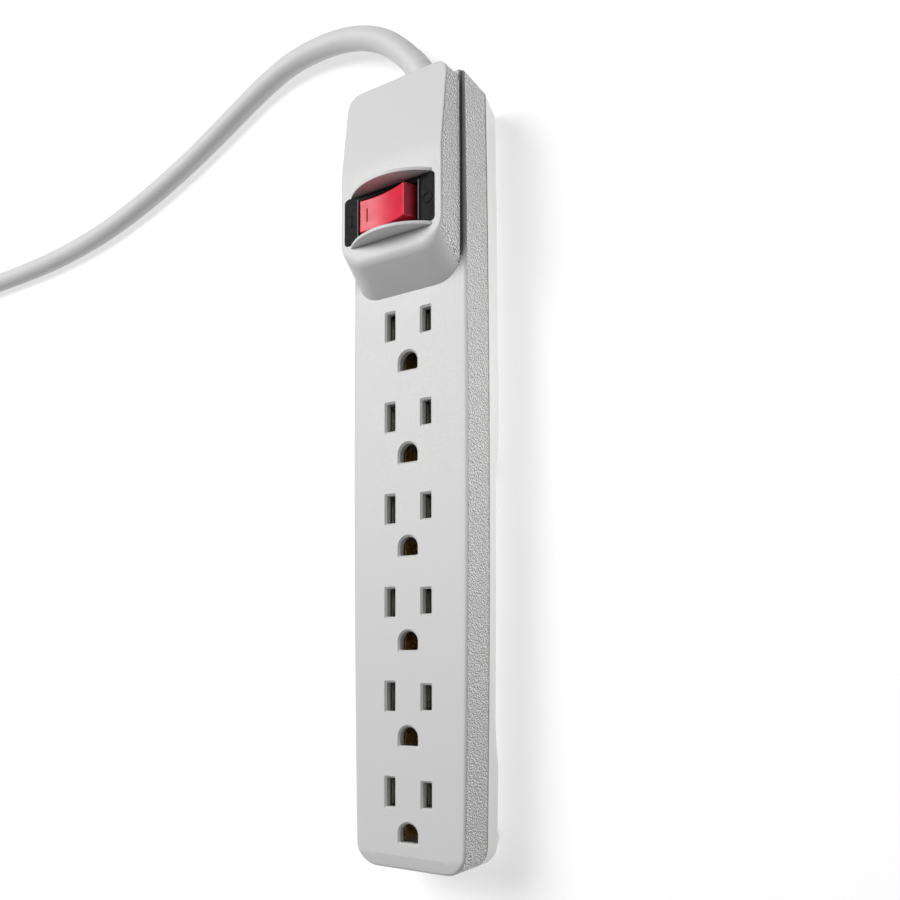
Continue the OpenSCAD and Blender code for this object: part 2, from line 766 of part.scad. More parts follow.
module strain_relief() {
    color(cord_color) {
        translate([0, 116.4, exit_z]) rotate([90, 0, 0]) cylinder(r = 6.4, h = 3.2, $fn = 64);
        translate([0, 120, exit_z]) rotate([90, 0, 0]) cylinder(r = 5, h = 4, $fn = 64);
        tube(relief_route, relief_r0, relief_r1, 16);
    }
}

module cord_run() {
    color(cord_color) tube(cord_route, cord_r, cord_r, cord_sides);
}

module cord_coil() {
    inner_r = coil_r - cord_d;
    color(cord_color) translate([coil_c[0], coil_c[1], coil_z]) rotate_extrude($fn = 96) {
        translate([inner_r, 0]) circle(r = cord_r, $fn = 32);
        translate([coil_r, 0]) circle(r = cord_r, $fn = 32);
        translate([inner_r, -cord_r]) square([cord_d, cord_d]);
    }
}

module cord_tail() {
    color(cord_color) tube(tail_route, cord_r, cord_r, cord_sides);
}

// A strap round both turns at the bottom of the coil.
module cord_tie() {
    t = 0.7;
    x0 = coil_r - cord_d - cord_r - 0.1;
    x1 = coil_r + cord_r + 0.1;
    color([0.15, 0.15, 0.15]) translate([coil_c[0] - 4, coil_c[1], coil_z]) rotate([90, 0, 90])
        linear_extrude(8) mirror([1, 0]) {
            difference() {
                translate([x0 - t, -cord_r - t]) square([x1 - x0 + 2 * t, cord_d + 2 * t]);
                translate([x0, -cord_r - 0.05]) square([x1 - x0, cord_d + 0.1]);
            }
            translate([x1, -1]) square([7, t]);
        }
}

// --- Plug ---

module plug_body() {
    outline = [[-11.5, 0], [11.5, 0], [13, 2], [13, 13], [8, 23.5], [5, 25.5], [-5, 25.5], [-8, 23.5],
        [-13, 13], [-13, 2]];
    color(cord_color) translate(plug_pos) {
        along_y(outline, 0, 20);
        hull() {
            along_y(outline, 20, 20.5);
            along_y([for (p = outline) [p[0] * 0.72, plug_axis_z + (p[1] - plug_axis_z) * 0.72]],
                    plug_len, plug_len + 1);
            translate([0, plug_len + 8, plug_axis_z]) rotate([90, 0, 0]) cylinder(r = 6, h = 1, $fn = 32);
        }
        translate([0, 48, plug_axis_z]) rotate([90, 0, 0]) cylinder(r1 = 4.3, r2 = 5.4, h = 14.5, $fn = 48);
    }
}

module plug_blades() {
    color(brass) translate(plug_pos) for (x = [-blade_x, blade_x])
        translate([x, 0, plug_blade_z]) difference() {
            block([-0.75, -17.5, -3.15], [0.75, 0, 3.15]);
            translate([0, -14, 0]) rotate([0, 90, 0]) cylinder(r = 1.5, h = 4, center = true, $fn = 32);
        }
}

module plug_ground_pin() {
    color(brass) translate(plug_pos) translate([0, 0, plug_ground_z]) {
        rotate([90, 0, 0]) cylinder(r = 2.4, h = 18, $fn = 48);
        translate([0, -18, 0]) sphere(r = 2.4, $fn = 48);
    }
}

front_cover();
back_cover();
cover_screws();
hot_bus();
neutral_bus();
ground_bus();
switch_frame();
switch_base();
rocker();
plunger();
plunger_spring();
neon_lamp();
lamp_resistor();
contact_lever();
moving_contact();
fixed_contact();
load_terminal();
line_terminal();
bimetal_strip();
pivot_bracket();
line_wire();
load_wire();
neutral_wire();
ground_wire();
cord_clamp();
clamp_screws();
jacket_end();
strain_relief();
cord_run();
cord_coil();
cord_tail();
cord_tie();
plug_body();
plug_blades();
plug_ground_pin();
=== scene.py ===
"""Looks of the power strip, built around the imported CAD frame.

Sizes are in millimetres, except the camera's, the lights' and the floor's, which are in metres.
"""

import json
import math

import bmesh
import bpy
from mathutils import Matrix, Vector


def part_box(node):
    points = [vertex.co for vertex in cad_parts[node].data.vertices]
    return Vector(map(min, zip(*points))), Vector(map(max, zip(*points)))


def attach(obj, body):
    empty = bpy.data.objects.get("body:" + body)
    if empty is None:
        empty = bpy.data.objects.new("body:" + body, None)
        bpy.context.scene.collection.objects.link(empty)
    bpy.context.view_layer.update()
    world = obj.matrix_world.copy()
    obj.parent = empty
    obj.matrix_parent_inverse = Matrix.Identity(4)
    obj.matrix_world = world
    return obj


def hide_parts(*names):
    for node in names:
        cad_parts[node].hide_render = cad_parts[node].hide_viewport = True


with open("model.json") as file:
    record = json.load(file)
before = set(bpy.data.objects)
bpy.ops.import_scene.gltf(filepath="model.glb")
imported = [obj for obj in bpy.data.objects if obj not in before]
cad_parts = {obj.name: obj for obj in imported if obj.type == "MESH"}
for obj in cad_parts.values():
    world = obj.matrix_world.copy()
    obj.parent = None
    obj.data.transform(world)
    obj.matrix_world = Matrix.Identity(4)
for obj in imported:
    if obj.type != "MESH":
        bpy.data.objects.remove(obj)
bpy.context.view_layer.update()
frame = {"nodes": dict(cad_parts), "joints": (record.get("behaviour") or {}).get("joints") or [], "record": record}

MM = 0.001
BODY = "housing"

# ---------------------------------------------------------------- places from the frame


def box_mm(node):
    """Lowest and highest corners of a CAD node, in millimetres."""
    low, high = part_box(node)
    return low / MM, high / MM


joint_at = {j["name"]: Vector(j["pos_m"]) / MM for j in frame["joints"]}
cover_high = box_mm("front_cover")[1]
plate_low = box_mm("switch_frame")[0]
plug_low, plug_high = box_mm("plug_body")

HALF_LEN = cover_high.y
HALF_W = cover_high.x
SPLIT_Z = 11.0
PIVOT = joint_at["rocker_tilt"]
SWITCH_X, SWITCH_Y = PIVOT.x, PIVOT.y
PIVOT_DEPTH = 3.9
HUMP_H = 10.4
HUMP_TOP_Z = PIVOT.z + PIVOT_DEPTH
FACE_Z = HUMP_TOP_Z - HUMP_H
HUMP_END_Z = FACE_Z + 6.5
GUARD_TOP_Z = cover_high.z

# ---------------------------------------------------------------- meshes


def mesh_piece(name, points, faces):
    """A closed mesh piece from points in millimetres."""
    mesh = bpy.data.meshes.new(name)
    mesh.from_pydata([Vector(p) * MM for p in points], [], faces)
    made = bmesh.new()
    made.from_mesh(mesh)
    bmesh.ops.remove_doubles(made, verts=made.verts, dist=1e-7)
    bmesh.ops.recalc_face_normals(made, faces=made.faces)
    made.to_mesh(mesh)
    made.free()
    piece = bpy.data.objects.new(name, mesh)
    bpy.context.scene.collection.objects.link(piece)
    return piece


def loft(name, outlines):
    """A closed solid through outlines with the same number of points, each a list of (x, y, z)."""
    count = len(outlines[0])
    points = [p for outline in outlines for p in outline]
    faces = [tuple(range(count))[::-1], tuple(range((len(outlines) - 1) * count, len(points)))]
    for ring in range(len(outlines) - 1):
        a, b = ring * count, (ring + 1) * count
        for i in range(count):
            j = (i + 1) % count
            faces.append((a + i, a + j, b + j, b + i))
    return mesh_piece(name, points, faces)


def shell(name, rings):
    """A closed solid through right-hand half outlines, mirrored in X; each end is closed by rows across."""
    count = len(rings[0])
    points, right, left = [], [], []
    for ring in rings:
        right.append(range(len(points), len(points) + count))
        points += ring
        left.append(range(len(points), len(points) + count))
        points += [(-x, y, z) for x, y, z in ring]
    faces = []
    for a in range(len(rings) - 1):
        b = a + 1
        for i in range(count - 1):
            faces.append((right[a][i], right[a][i + 1], right[b][i + 1], right[b][i]))
            faces.append((left[a][i + 1], left[a][i], left[b][i], left[b][i + 1]))
    for end in (0, len(rings) - 1):
        for i in range(count - 1):
            faces.append((right[end][i], right[end][i + 1], left[end][i + 1], left[end][i]))
    return mesh_piece(name, points, faces)


def upright_solid(name, levels):
    """A solid through (outline, z) levels, each outline a list of (x, y)."""
    return loft(name, [[(x, y, z) for x, y in outline] for outline, z in levels])


def lengthwise_solid(name, levels, at=(0, 0)):
    """A solid along Y through (outline, y) levels, each outline a list of (x, z) about the place at."""
    return loft(name, [[(at[0] + x, y, at[1] + z) for x, z in outline] for outline, y in levels])


def block(low, high):
    """A box tool between two corners."""
    outline = [(low[0], low[1]), (high[0], low[1]), (high[0], high[1]), (low[0], high[1])]
    return upright_solid("block", [(outline, low[2]), (outline, high[2])])


def moved(outline, x, y):
    """An outline moved by x and y."""
    return [(x + px, y + py) for px, py in outline]


def arc(radius, start, turn, steps):
    """Points on an arc about zero, from the angle start through turn, both in degrees."""
    angles = [math.radians(start + turn * i / steps) for i in range(steps + 1)]
    return [(radius * math.cos(a), radius * math.sin(a)) for a in angles]


def circle(radius, steps):
    """Points round a circle in a plane."""
    return arc(radius, 0, 360, steps)[:-1]


def rounded(half_x, half_y, radius, steps=6):
    """Points round a rectangle with rounded corners, centred on zero."""
    points = []
    for corner, (side_x, side_y) in enumerate(((1, 1), (-1, 1), (-1, -1), (1, -1))):
        turn = arc(radius, 90 * corner, 90, steps)
        points += moved(turn, side_x * (half_x - radius), side_y * (half_y - radius))
    return points


def post(x, y, levels, steps=40):
    """An upright round solid through (radius, z) levels."""
    return upright_solid("post", [(moved(circle(r, steps), x, y), z) for r, z in levels])


def combine(target, tool, operation):
    """Joins or cuts target with tool, which is used up."""
    modifier = target.modifiers.new("combine", "BOOLEAN")
    modifier.operation = operation
    modifier.object = tool
    modifier.solver = "MANIFOLD"
    evaluated = target.evaluated_get(bpy.context.evaluated_depsgraph_get())
    mesh = bpy.data.meshes.new_from_object(evaluated)
    target.modifiers.clear()
    old = target.data
    target.data = mesh
    bpy.data.meshes.remove(old)
    bpy.data.objects.remove(tool)


def cut(target, *tools):
    """Cuts each tool out of target."""
    for tool in tools:
        combine(target, tool, "DIFFERENCE")
    return target


def join(target, *tools):
    """Joins each tool to target."""
    for tool in tools:
        combine(target, tool, "UNION")


def smooth(piece, angle):
    """Smooth shading with edges sharper than angle kept."""
    piece.data.shade_smooth()
    piece.data.set_sharp_from_angle(angle=math.radians(angle))
    piece.modifiers.new("normals", "WEIGHTED_NORMAL").keep_sharp = True
    return piece


def shade_smooth_welded(piece):
    """Smooth shading, with a modifier that joins the points that lie together."""
    piece.modifiers.new("weld", "WELD").merge_threshold = 1e-6
    for face in piece.data.polygons:
        face.use_smooth = True


def soften(piece, width, segments=2, angle=35):
    """Rounds a piece's edges with modifiers only."""
    shade_smooth_welded(piece)
    bevel = piece.modifiers.new("bevel", "BEVEL")
    bevel.width = width * MM
    bevel.segments = segments
    bevel.limit_method = "ANGLE"
    bevel.angle_limit = math.radians(angle)
    bevel.use_clamp_overlap = True
    bevel.harden_normals = False
    piece.modifiers.new("normals", "WEIGHTED_NORMAL").keep_sharp = False


# ---------------------------------------------------------------- materials

# Where nearly all of a noise's values lie.
NOISE_RANGE = (0.3, 0.7)
# The size of the cover's grain, and the step across it, in grain sizes, that gives its slopes painted light and
# shade.
GRAIN = 0.5
GRAIN_STEP = 0.22


class Look:
    """A procedural material: a Principled shader and the few nodes that every surface here uses."""

    def __init__(self, name, color, roughness, **sockets):
        self.material = bpy.data.materials.new(name)
        self.material.use_nodes = True
        self.material.diffuse_color = (*color, 1)
        self.nodes = self.material.node_tree.nodes
        self.links = self.material.node_tree.links
        self.shader = self.nodes["Principled BSDF"]
        self.color = color
        self.set("Base Color", (*color, 1))
        self.set("Roughness", roughness)
        for socket, value in sockets.items():
            self.set(socket.replace("_", " "), value)

    def set(self, socket, value):
        """Sets a constant on one of the shader's sockets."""
        self.shader.inputs[socket].default_value = value

    def node(self, kind, **values):
        """A new node with some of its properties set."""
        made = self.nodes.new(kind)
        for name, value in values.items():
            setattr(made, name, value)
        return made

    def noise(self, size, detail=2.0, stretch=(1, 1, 1), shift=(0, 0, 0)):
        """Noise whose features are about size millimetres across, moved by shift times that size."""
        coords = self.node("ShaderNodeTexCoord")
        mapping = self.node("ShaderNodeMapping")
        mapping.inputs["Scale"].default_value = [s / (size * MM) for s in stretch]
        mapping.inputs["Location"].default_value = shift
        texture = self.node("ShaderNodeTexNoise")
        texture.inputs["Scale"].default_value = 1
        texture.inputs["Detail"].default_value = detail
        texture.inputs["Roughness"].default_value = 0.5
        self.links.new(coords.outputs["Object"], mapping.inputs["Vector"])
        self.links.new(mapping.outputs["Vector"], texture.inputs["Vector"])
        return texture.outputs["Fac"]

    def coordinate(self, kind, axis):
        """One axis of the piece's own place or normal."""
        coords = self.node("ShaderNodeTexCoord")
        split = self.node("ShaderNodeSeparateXYZ")
        self.links.new(coords.outputs[kind], split.inputs["Vector"])
        return split.outputs[axis]

    def upright(self, full, none):
        """1 where the surface's own normal is nearly level, 0 where it points up or down."""
        size = self.math("ABSOLUTE", self.coordinate("Normal", "Z"))
        return self.ranged(size, full, none, 1, 0)

    def past(self, axis, low, high):
        """0 before low and 1 past high along an axis of the piece's own place, both in millimetres."""
        return self.ranged(self.coordinate("Object", axis), low * MM, high * MM, 0, 1)

    def ranged(self, source, from_low, from_high, to_low, to_high):
        """The source's range from_low to from_high, mapped to to_low to to_high and held there outside it."""
        node = self.node("ShaderNodeMapRange")
        for socket, value in zip(("From Min", "From Max", "To Min", "To Max"),
                                 (from_low, from_high, to_low, to_high)):
            node.inputs[socket].default_value = value
        self.links.new(source, node.inputs["Value"])
        return node.outputs["Result"]

    def spread(self, noise, to_low, to_high):
        """A noise's usual values stretched to lie between to_low and to_high."""
        return self.ranged(noise, *NOISE_RANGE, to_low, to_high)

    def math(self, operation, a, b=0):
        """One operation on two values, each a number or another node's output."""
        node = self.node("ShaderNodeMath", operation=operation)
        for socket, value in zip(node.inputs, (a, b)):
            if isinstance(value, (int, float)):
                socket.default_value = value
            else:
                self.links.new(value, socket)
        return node.outputs[0]

    def tint(self, source, low, high):
        """Base colour between low and high times the material's colour, as source goes from 0 to 1."""
        mix = self.node("ShaderNodeMix", data_type="RGBA")
        color_in = [s for s in mix.inputs if s.type == "RGBA"]
        color_in[0].default_value = (*[c * low for c in self.color], 1)
        color_in[1].default_value = (*[c * high for c in self.color], 1)
        self.links.new(source, mix.inputs["Factor"])
        color_out = [s for s in mix.outputs if s.type == "RGBA"][0]
        self.links.new(color_out, self.shader.inputs["Base Color"])

    def rough(self, source, low, high):
        """Roughness from low to high, following a noise."""
        self.links.new(self.spread(source, low, high), self.shader.inputs["Roughness"])

    def bump(self, source, height):
        """Bump from source; height is in millimetres."""
        node = self.node("ShaderNodeBump")
        node.inputs["Strength"].default_value = 1.0
        node.inputs["Distance"].default_value = height * MM
        self.links.new(source, node.inputs["Height"])
        before = self.shader.inputs["Normal"]
        if before.is_linked:
            self.links.new(before.links[0].from_socket, node.inputs["Normal"])
        self.links.new(node.outputs["Normal"], before)


def cover_look():
    """Moulded off-white plastic: grained on upright walls, nearly smooth on the face and the guards; the walls'
    grain carries painted light and shade, and the strip beside the switch housing painted shade.
    """
    look = Look("cover_plastic", (0.58, 0.58, 0.578), 0.5, IOR=1.5)
    grain = look.spread(look.noise(GRAIN, detail=1.8), 0, 1)
    beside = look.spread(look.noise(GRAIN, detail=1.8, shift=(0, GRAIN_STEP, -GRAIN_STEP)), 0, 1)
    off_middle = look.math("ABSOLUTE", look.coordinate("Object", "X"))
    past_slots = look.ranged(off_middle, 14 * MM, 16 * MM, 0, 1)
    under_top = look.math("SUBTRACT", 1, look.past("Z", HUMP_TOP_Z - 0.9, HUMP_TOP_Z - 0.4))
    outside = look.math("MULTIPLY", under_top, past_slots)
    wall = look.math("MULTIPLY", look.upright(0.12, 0.42), outside)
    look.bump(look.math("MULTIPLY", grain, look.ranged(wall, 0, 1, 0.06, 1.0)), 0.2)
    look.bump(look.noise(14), 0.05)
    # Painted light and shade: the grain's slope along one direction lightens or darkens the walls' colour, as a
    # grazing light would.
    slope = look.math("SUBTRACT", grain, beside)
    painted_grain_shading = look.math("MULTIPLY", slope, look.ranged(wall, 0, 1, 0.0, 4.5))
    level = look.math("ADD", painted_grain_shading, look.ranged(wall, 0, 1, 0.45, 0.42))
    # Painted shade on the narrow strip of the face beside the switch housing.
    shade = ledge_shade(look, off_middle, wall)
    look.tint(look.math("MAXIMUM", look.math("SUBTRACT", level, shade)), 0.4, 1.72)
    look.rough(look.noise(0.8), 0.46, 0.58)
    return look.material


def ledge_shade(look, off_middle, wall):
    """Painted shade: how much darker the narrow strip of the face beside the switch housing is, where the housing
    shades it.
    """
    past_foot = look.past("Y", 58, 68)
    beside_hump = look.ranged(off_middle, 17.7 * MM, 18.0 * MM, 0, 1)
    strip = look.math("MULTIPLY", past_foot, beside_hump)
    return look.math("MULTIPLY", strip, look.ranged(wall, 0, 1, 0.5, 0))


def back_look():
    """Smooth white plastic, a little glossier than the cover."""
    look = Look("back_plastic", (0.9, 0.9, 0.892), 0.42, IOR=1.5)
    look.bump(look.noise(0.6), 0.03)
    look.tint(look.noise(35, detail=3), 0.975, 1.02)
    look.rough(look.noise(2.5, detail=3), 0.36, 0.48)
    return look.material


def vinyl_look(name, color):
    """Soft vinyl with a faintly uneven surface."""
    look = Look(name, color, 0.54, IOR=1.5)
    look.bump(look.noise(0.9, detail=3), 0.035)
    look.bump(look.noise(16), 0.25)
    look.tint(look.noise(22, detail=3), 0.965, 1.03)
    look.rough(look.noise(3, detail=3), 0.5, 0.62)
    return look.material


def switch_look():
    """Dull black plastic whose raised lips carry a painted highlight: they are coloured lighter grey."""
    look = Look("switch_black", (0.0085, 0.0085, 0.009), 0.45, IOR=1.5, Specular_IOR_Level=0.05)
    # Painted highlight: the parts standing above the plate's top, its lips, are coloured lighter grey as if
    # catching light.
    painted_lip_highlight = look.past("Z", HUMP_TOP_Z + 0.25, HUMP_TOP_Z + 0.5)
    look.bump(look.noise(0.35), 0.03)
    look.tint(look.math("ADD", painted_lip_highlight, look.spread(look.noise(4, detail=3), 0, 0.03)), 0.85, 13)
    look.rough(look.noise(1.5), 0.4, 0.54)
    return look.material


def plain_look(name, color, roughness):
    """Plain hard plastic, slightly mottled."""
    look = Look(name, color, roughness, IOR=1.5)
    look.bump(look.noise(0.35), 0.03)
    look.tint(look.noise(4, detail=3), 0.8, 1.25)
    look.rough(look.noise(1.5), roughness - 0.06, roughness + 0.08)
    return look.material


def metal_look(name, color, roughness, stretch=(1, 0.08, 1)):
    """Stamped or rolled metal: fine lines along the strip, and a little tarnish."""
    look = Look(name, color, roughness, Metallic=1.0)
    look.bump(look.noise(0.25, stretch=stretch), 0.006)
    look.tint(look.noise(5, detail=3), 0.86, 1.08)
    look.rough(look.noise(1.2, detail=3), roughness - 0.08, roughness + 0.12)
    return look.material


def rocker_look():
    """Glossy translucent red, with painted shade on the faces that point towards its ends."""
    look = Look("rocker_red", (0.62, 0.02, 0.048), 0.3, IOR=1.49, Subsurface_Weight=0.2,
                Subsurface_Radius=(1.0, 0.22, 0.10), Subsurface_Scale=0.003, Specular_IOR_Level=0.3)
    look.bump(look.noise(7, detail=1), 0.08)
    # Painted shade: faces pointing along X, at the rocker's two ends, get a deeper colour.
    facing_end = look.math("ABSOLUTE", look.coordinate("Normal", "X"))
    darker = look.ranged(facing_end, 0.5, 0.9, 0, 0.5)
    look.tint(look.math("SUBTRACT", look.spread(look.noise(5), 0.7, 0.9), darker), 0.2, 1.2)
    look.rough(look.noise(2, detail=1), 0.3, 0.38)
    return look.material


def glass_look(name, color, clearness):
    """Thin tinted glass."""
    look = Look(name, color, 0.08, IOR=1.45, Transmission_Weight=clearness)
    look.bump(look.noise(1.5, detail=1), 0.01)
    look.tint(look.noise(1.5, detail=1), 0.9, 1.1)
    return look.material


def floor_look():
    """A white floor that partly lights itself, so that it stays white round the strip."""
    look = Look("floor", (0.42, 0.42, 0.42), 0.8)
    look.set("Emission Color", (1, 1, 1, 1))
    look.set("Emission Strength", 0.6)
    look.bump(look.noise(0.8), 0.01)
    look.tint(look.noise(60), 0.995, 1.005)
    return look.material


LOOKS = {
    "cover_plastic": cover_look(),
    "back_plastic": back_look(),
    "screw_steel": metal_look("screw_steel", (0.62, 0.63, 0.64), 0.3, stretch=(1, 1, 1)),
    "brass": metal_look("brass", (0.72, 0.54, 0.27), 0.3),
    "tinned_brass": metal_look("tinned_brass", (0.66, 0.65, 0.60), 0.34),
    "switch_black": switch_look(),
    "rocker_red": rocker_look(),
    "contact_silver": metal_look("contact_silver", (0.80, 0.80, 0.78), 0.24, stretch=(1, 1, 1)),
    "lamp_glass": glass_look("lamp_glass", (0.95, 0.62, 0.42), 0.6),
    "resistor_body": plain_look("resistor_body", (0.62, 0.48, 0.28), 0.35),
    "bimetal": metal_look("bimetal", (0.60, 0.46, 0.38), 0.32),
    "wire_black": plain_look("wire_black", (0.02, 0.02, 0.02), 0.4),
    "wire_white": vinyl_look("wire_white", (0.72, 0.72, 0.70)),
    "wire_green": plain_look("wire_green", (0.02, 0.22, 0.07), 0.4),
    "clamp_black": plain_look("clamp_black", (0.03, 0.03, 0.03), 0.5),
    "cord_vinyl": vinyl_look("cord_vinyl", (0.57, 0.57, 0.57)),
    "tie_black": plain_look("tie_black", (0.02, 0.02, 0.022), 0.55),
    "plug_vinyl": vinyl_look("plug_vinyl", (0.57, 0.57, 0.57)),
    "blade_nickel": metal_look("blade_nickel", (0.86, 0.72, 0.42), 0.2),
}


def set_material(piece, slot):
    """Gives a piece its slot's material and no other."""
    piece.data.materials.clear()
    piece.data.materials.append(LOOKS[slot])


def finish_piece(piece, slot, *nodes, body=BODY):
    """Gives a piece its material, its body and the CAD nodes that it stands for."""
    set_material(piece, slot)
    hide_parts(*nodes)
    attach(piece, body)
    return piece


# ---------------------------------------------------------------- camera, floor and light

CAMERA_AT = (0.1461, -0.0586, 0.2619)
CAMERA_RIGHT = Vector((0.8168, 0.0033, -0.5769))
CAMERA_UP = Vector((0.0346, 0.9979, 0.0546))
CAMERA_LENS = 37
CAMERA_SHIFT = (0.11, 0.17)

# Each light's place, aim, size and power in watts.
LIGHTS = {
    "key": ((-0.62, 0.5, 1.22), (0, 0, 0.02), (0.8, 0.8), 23.4),
    "fill": ((0.145, 0.035, 0.02), (0, 0.03, 0.012), (0.08, 0.025), 0.05),
    "side": ((0.55, 0.0, 0.62), (0, 0, 0.02), (0.4, 0.4), 0.55),
}
WORLD_STRENGTH = 0.1
FLOOR_REACH = 4.0


def make_camera():
    """The camera, turned by its right and up directions."""
    data = bpy.data.cameras.new("camera")
    data.sensor_width = 36
    data.lens = CAMERA_LENS
    data.shift_x, data.shift_y = CAMERA_SHIFT
    data.clip_start = 0.01
    camera = bpy.data.objects.new("camera", data)
    bpy.context.scene.collection.objects.link(camera)
    back = CAMERA_RIGHT.cross(CAMERA_UP).normalized()
    up = back.cross(CAMERA_RIGHT).normalized()
    turn = Matrix((CAMERA_RIGHT.normalized(), up, back)).transposed()
    camera.matrix_world = Matrix.Translation(CAMERA_AT) @ turn.to_4x4()
    bpy.context.scene.camera = camera


def area_light(name, at, aim, size, power):
    """A rectangular light that the camera doesn't see."""
    data = bpy.data.lights.new(name, "AREA")
    data.shape = "RECTANGLE"
    data.size, data.size_y = size
    data.energy = power
    light = bpy.data.objects.new(name, data)
    bpy.context.scene.collection.objects.link(light)
    light.visible_camera = False
    light.location = at
    light.rotation_euler = (Vector(aim) - Vector(at)).to_track_quat("-Z", "Y").to_euler()


def make_studio():
    """An even white surrounding and the lights."""
    world = bpy.data.worlds.new("studio")
    world.use_nodes = True
    background = world.node_tree.nodes["Background"]
    background.inputs["Color"].default_value = (1, 1, 1, 1)
    background.inputs["Strength"].default_value = WORLD_STRENGTH
    bpy.context.scene.world = world
    for name, (at, aim, size, power) in LIGHTS.items():
        area_light(name, at, aim, size, power)
    bpy.context.scene.view_settings.view_transform = "Standard"


def make_floor():
    """The floor that the strip lies on."""
    floor = bpy.data.objects.new("floor", bpy.data.meshes.new("floor"))
    corners = [(x * FLOOR_REACH, y * FLOOR_REACH, 0) for x, y in ((-1, -1), (1, -1), (1, 1), (-1, 1))]
    floor.data.from_pydata(corners, [], [(0, 1, 2, 3)])
    floor.data.materials.append(floor_look())
    bpy.context.scene.collection.objects.link(floor)


make_camera()
make_studio()
make_floor()

# ---------------------------------------------------------------- cord

CORD_D = 7.8
EXIT = (0, 120, 11)
COIL_AT = (-301, 78)
COIL_Z = 4.7
COIL_R = 46.0
RELIEF_ROUTE = [(0, 119, 11), (0, 120, 11), (-0.5, 125.4, 11), (-1.9, 130.6, 11), (-4.2, 135.5, 11),
                (-7.3, 139.9, 11)]
CORD_ROUTE = [(-7.3, 139.9, 11), (-12.8, 146.3, 10.6), (-18.4, 151.4, 10), (-27, 156.8, 9),
              (-38.3, 161.2, 7.5), (-50.8, 163.6, 6), (-63.5, 163.6, 5), (-75.5, 161, 4.2),
              (-87, 156.6, 3.9), (-101, 150.3, 3.9), (-117, 143.6, 3.9), (-134, 137.5, 3.9),
              (-151, 132.5, 3.9), (-168.5, 128.5, 3.9), (-186, 126, 3.9), (-204, 124.5, 3.9),
              (-222, 124, 3.9), (-240, 124, 4), (-258, 124, 4.3), (-280, 124, 4.7), (-301, 124, 4.7)]
TAIL_ROUTE = [(-267, 58, 5.5), (-262.5, 70, 8), (-261, 83, 11), (-264, 96, 12.8), (-272, 107.5, 13),
              (-284, 115.5, 13), (-298, 119.5, 13), (-312, 120.5, 13), (-326, 117, 13),
              (-338.5, 109, 12.5), (-347.5, 98, 11.5), (-353, 85, 10.5), (-355, 72, 10), (-355, 60, 10),
              (-355, 56, 10)]


def coil_points():
    """Three quarters of the outer turn, a quarter turn inwards, then most of the inner turn."""
    start, inward, end, step = 90, 360, 680, 12
    points = []
    for angle in range(start + step, end, step):
        share = min(max((angle - inward) / 90, 0), 1)
        radius = COIL_R - CORD_D * share * share * (3 - 2 * share)
        a = math.radians(angle)
        points.append((COIL_AT[0] + radius * math.cos(a), COIL_AT[1] + radius * math.sin(a), COIL_Z))
    return points


def blend(a, b, start, end, t):
    """The point on the line through a and b at t, where a is at start and b at end."""
    return a * ((end - t) / (end - start)) + b * ((t - start) / (end - start))


def curve_through(points, spacing=2.0):
    """A smooth curve through points, as points about spacing apart."""
    points = [Vector(p) for p in points]
    ends = [2 * points[0] - points[1], *points, 2 * points[-1] - points[-2]]
    made = [points[0]]
    for p0, p1, p2, p3 in zip(ends, ends[1:], ends[2:], ends[3:]):
        knots = [0.0]
        for a, b in ((p0, p1), (p1, p2), (p2, p3)):
            knots.append(knots[-1] + math.sqrt((b - a).length))
        t0, t1, t2, t3 = knots
        steps = max(1, round((p2 - p1).length / spacing))
        for i in range(1, steps + 1):
            t = t1 + (t2 - t1) * i / steps
            a1 = blend(p0, p1, t0, t1, t)
            a2 = blend(p1, p2, t1, t2, t)
            a3 = blend(p2, p3, t2, t3, t)
            b1 = blend(a1, a2, t0, t2, t)
            b2 = blend(a2, a3, t1, t3, t)
            made.append(blend(b1, b2, t1, t2, t))
    return made


def make_cord():
    """The whole cord as one round curve, from the housing's end to the plug."""
    route = [EXIT, *RELIEF_ROUTE[2:], *CORD_ROUTE[1:], *coil_points(), *TAIL_ROUTE]
    line = curve_through(route)
    curve = bpy.data.curves.new("cord", "CURVE")
    curve.dimensions = "3D"
    curve.bevel_depth = CORD_D / 2 * MM
    curve.bevel_resolution = 7
    curve.use_fill_caps = True
    spline = curve.splines.new("POLY")
    spline.points.add(len(line) - 1)
    for point, at in zip(spline.points, line):
        point.co = (*(at * MM), 1)
    spline.use_smooth = True
    cord = bpy.data.objects.new("cord", curve)
    bpy.context.scene.collection.objects.link(cord)
    return finish_piece(cord, "cord_vinyl", "cord_run", "cord_coil", "cord_tail")


def swept(name, line, radius_at):
    """A round tube along line; radius_at gives its radius from the share of the way along."""
    outlines = []
    side = Vector((1, 0, 0))
    last = len(line) - 1
    for i, at in enumerate(line):
        tangent = (line[min(i + 1, last)] - line[max(i - 1, 0)]).normalized()
        up = tangent.cross(side).normalized()
        side = up.cross(tangent).normalized()
        section = circle(radius_at(i / last), 32)
        outlines.append([at + across * side + over * up for across, over in section])
    return loft(name, outlines)


RELIEF_R = 4.85
RELIEF_TAPER = 0.82
RELIEF_CREASES = 8


def make_relief():
    """The tapered sleeve that the cord leaves the housing through, with its flange inside."""
    line = curve_through(RELIEF_ROUTE, spacing=0.4)

    def radius(share):
        """The sleeve's radius: creases deepen along it, and its end has a faint lip."""
        lip = max(0.0, 1 - abs(share - 0.93) / 0.05) * 0.05
        end = max(0.0, share - 0.97) / 0.03 * 0.08
        creases = 0.13 * math.cos(math.tau * share * RELIEF_CREASES) * max(0.0, share - 0.3)
        return RELIEF_R - RELIEF_TAPER * share + lip - end + creases

    relief = swept("relief", line, radius)
    flange = [(6.1, 113.2), (6.4, 113.5), (6.4, 116.1), (6.1, 116.4)]
    neck = [(5.0, 115.5), (5.0, 119.6), (4.8, EXIT[1])]
    for levels in (flange, neck):
        join(relief, lengthwise_solid("ring", [(circle(r, 48), y) for r, y in levels], (EXIT[0], EXIT[2])))
    return finish_piece(smooth(relief, 40), "cord_vinyl", "strain_relief")


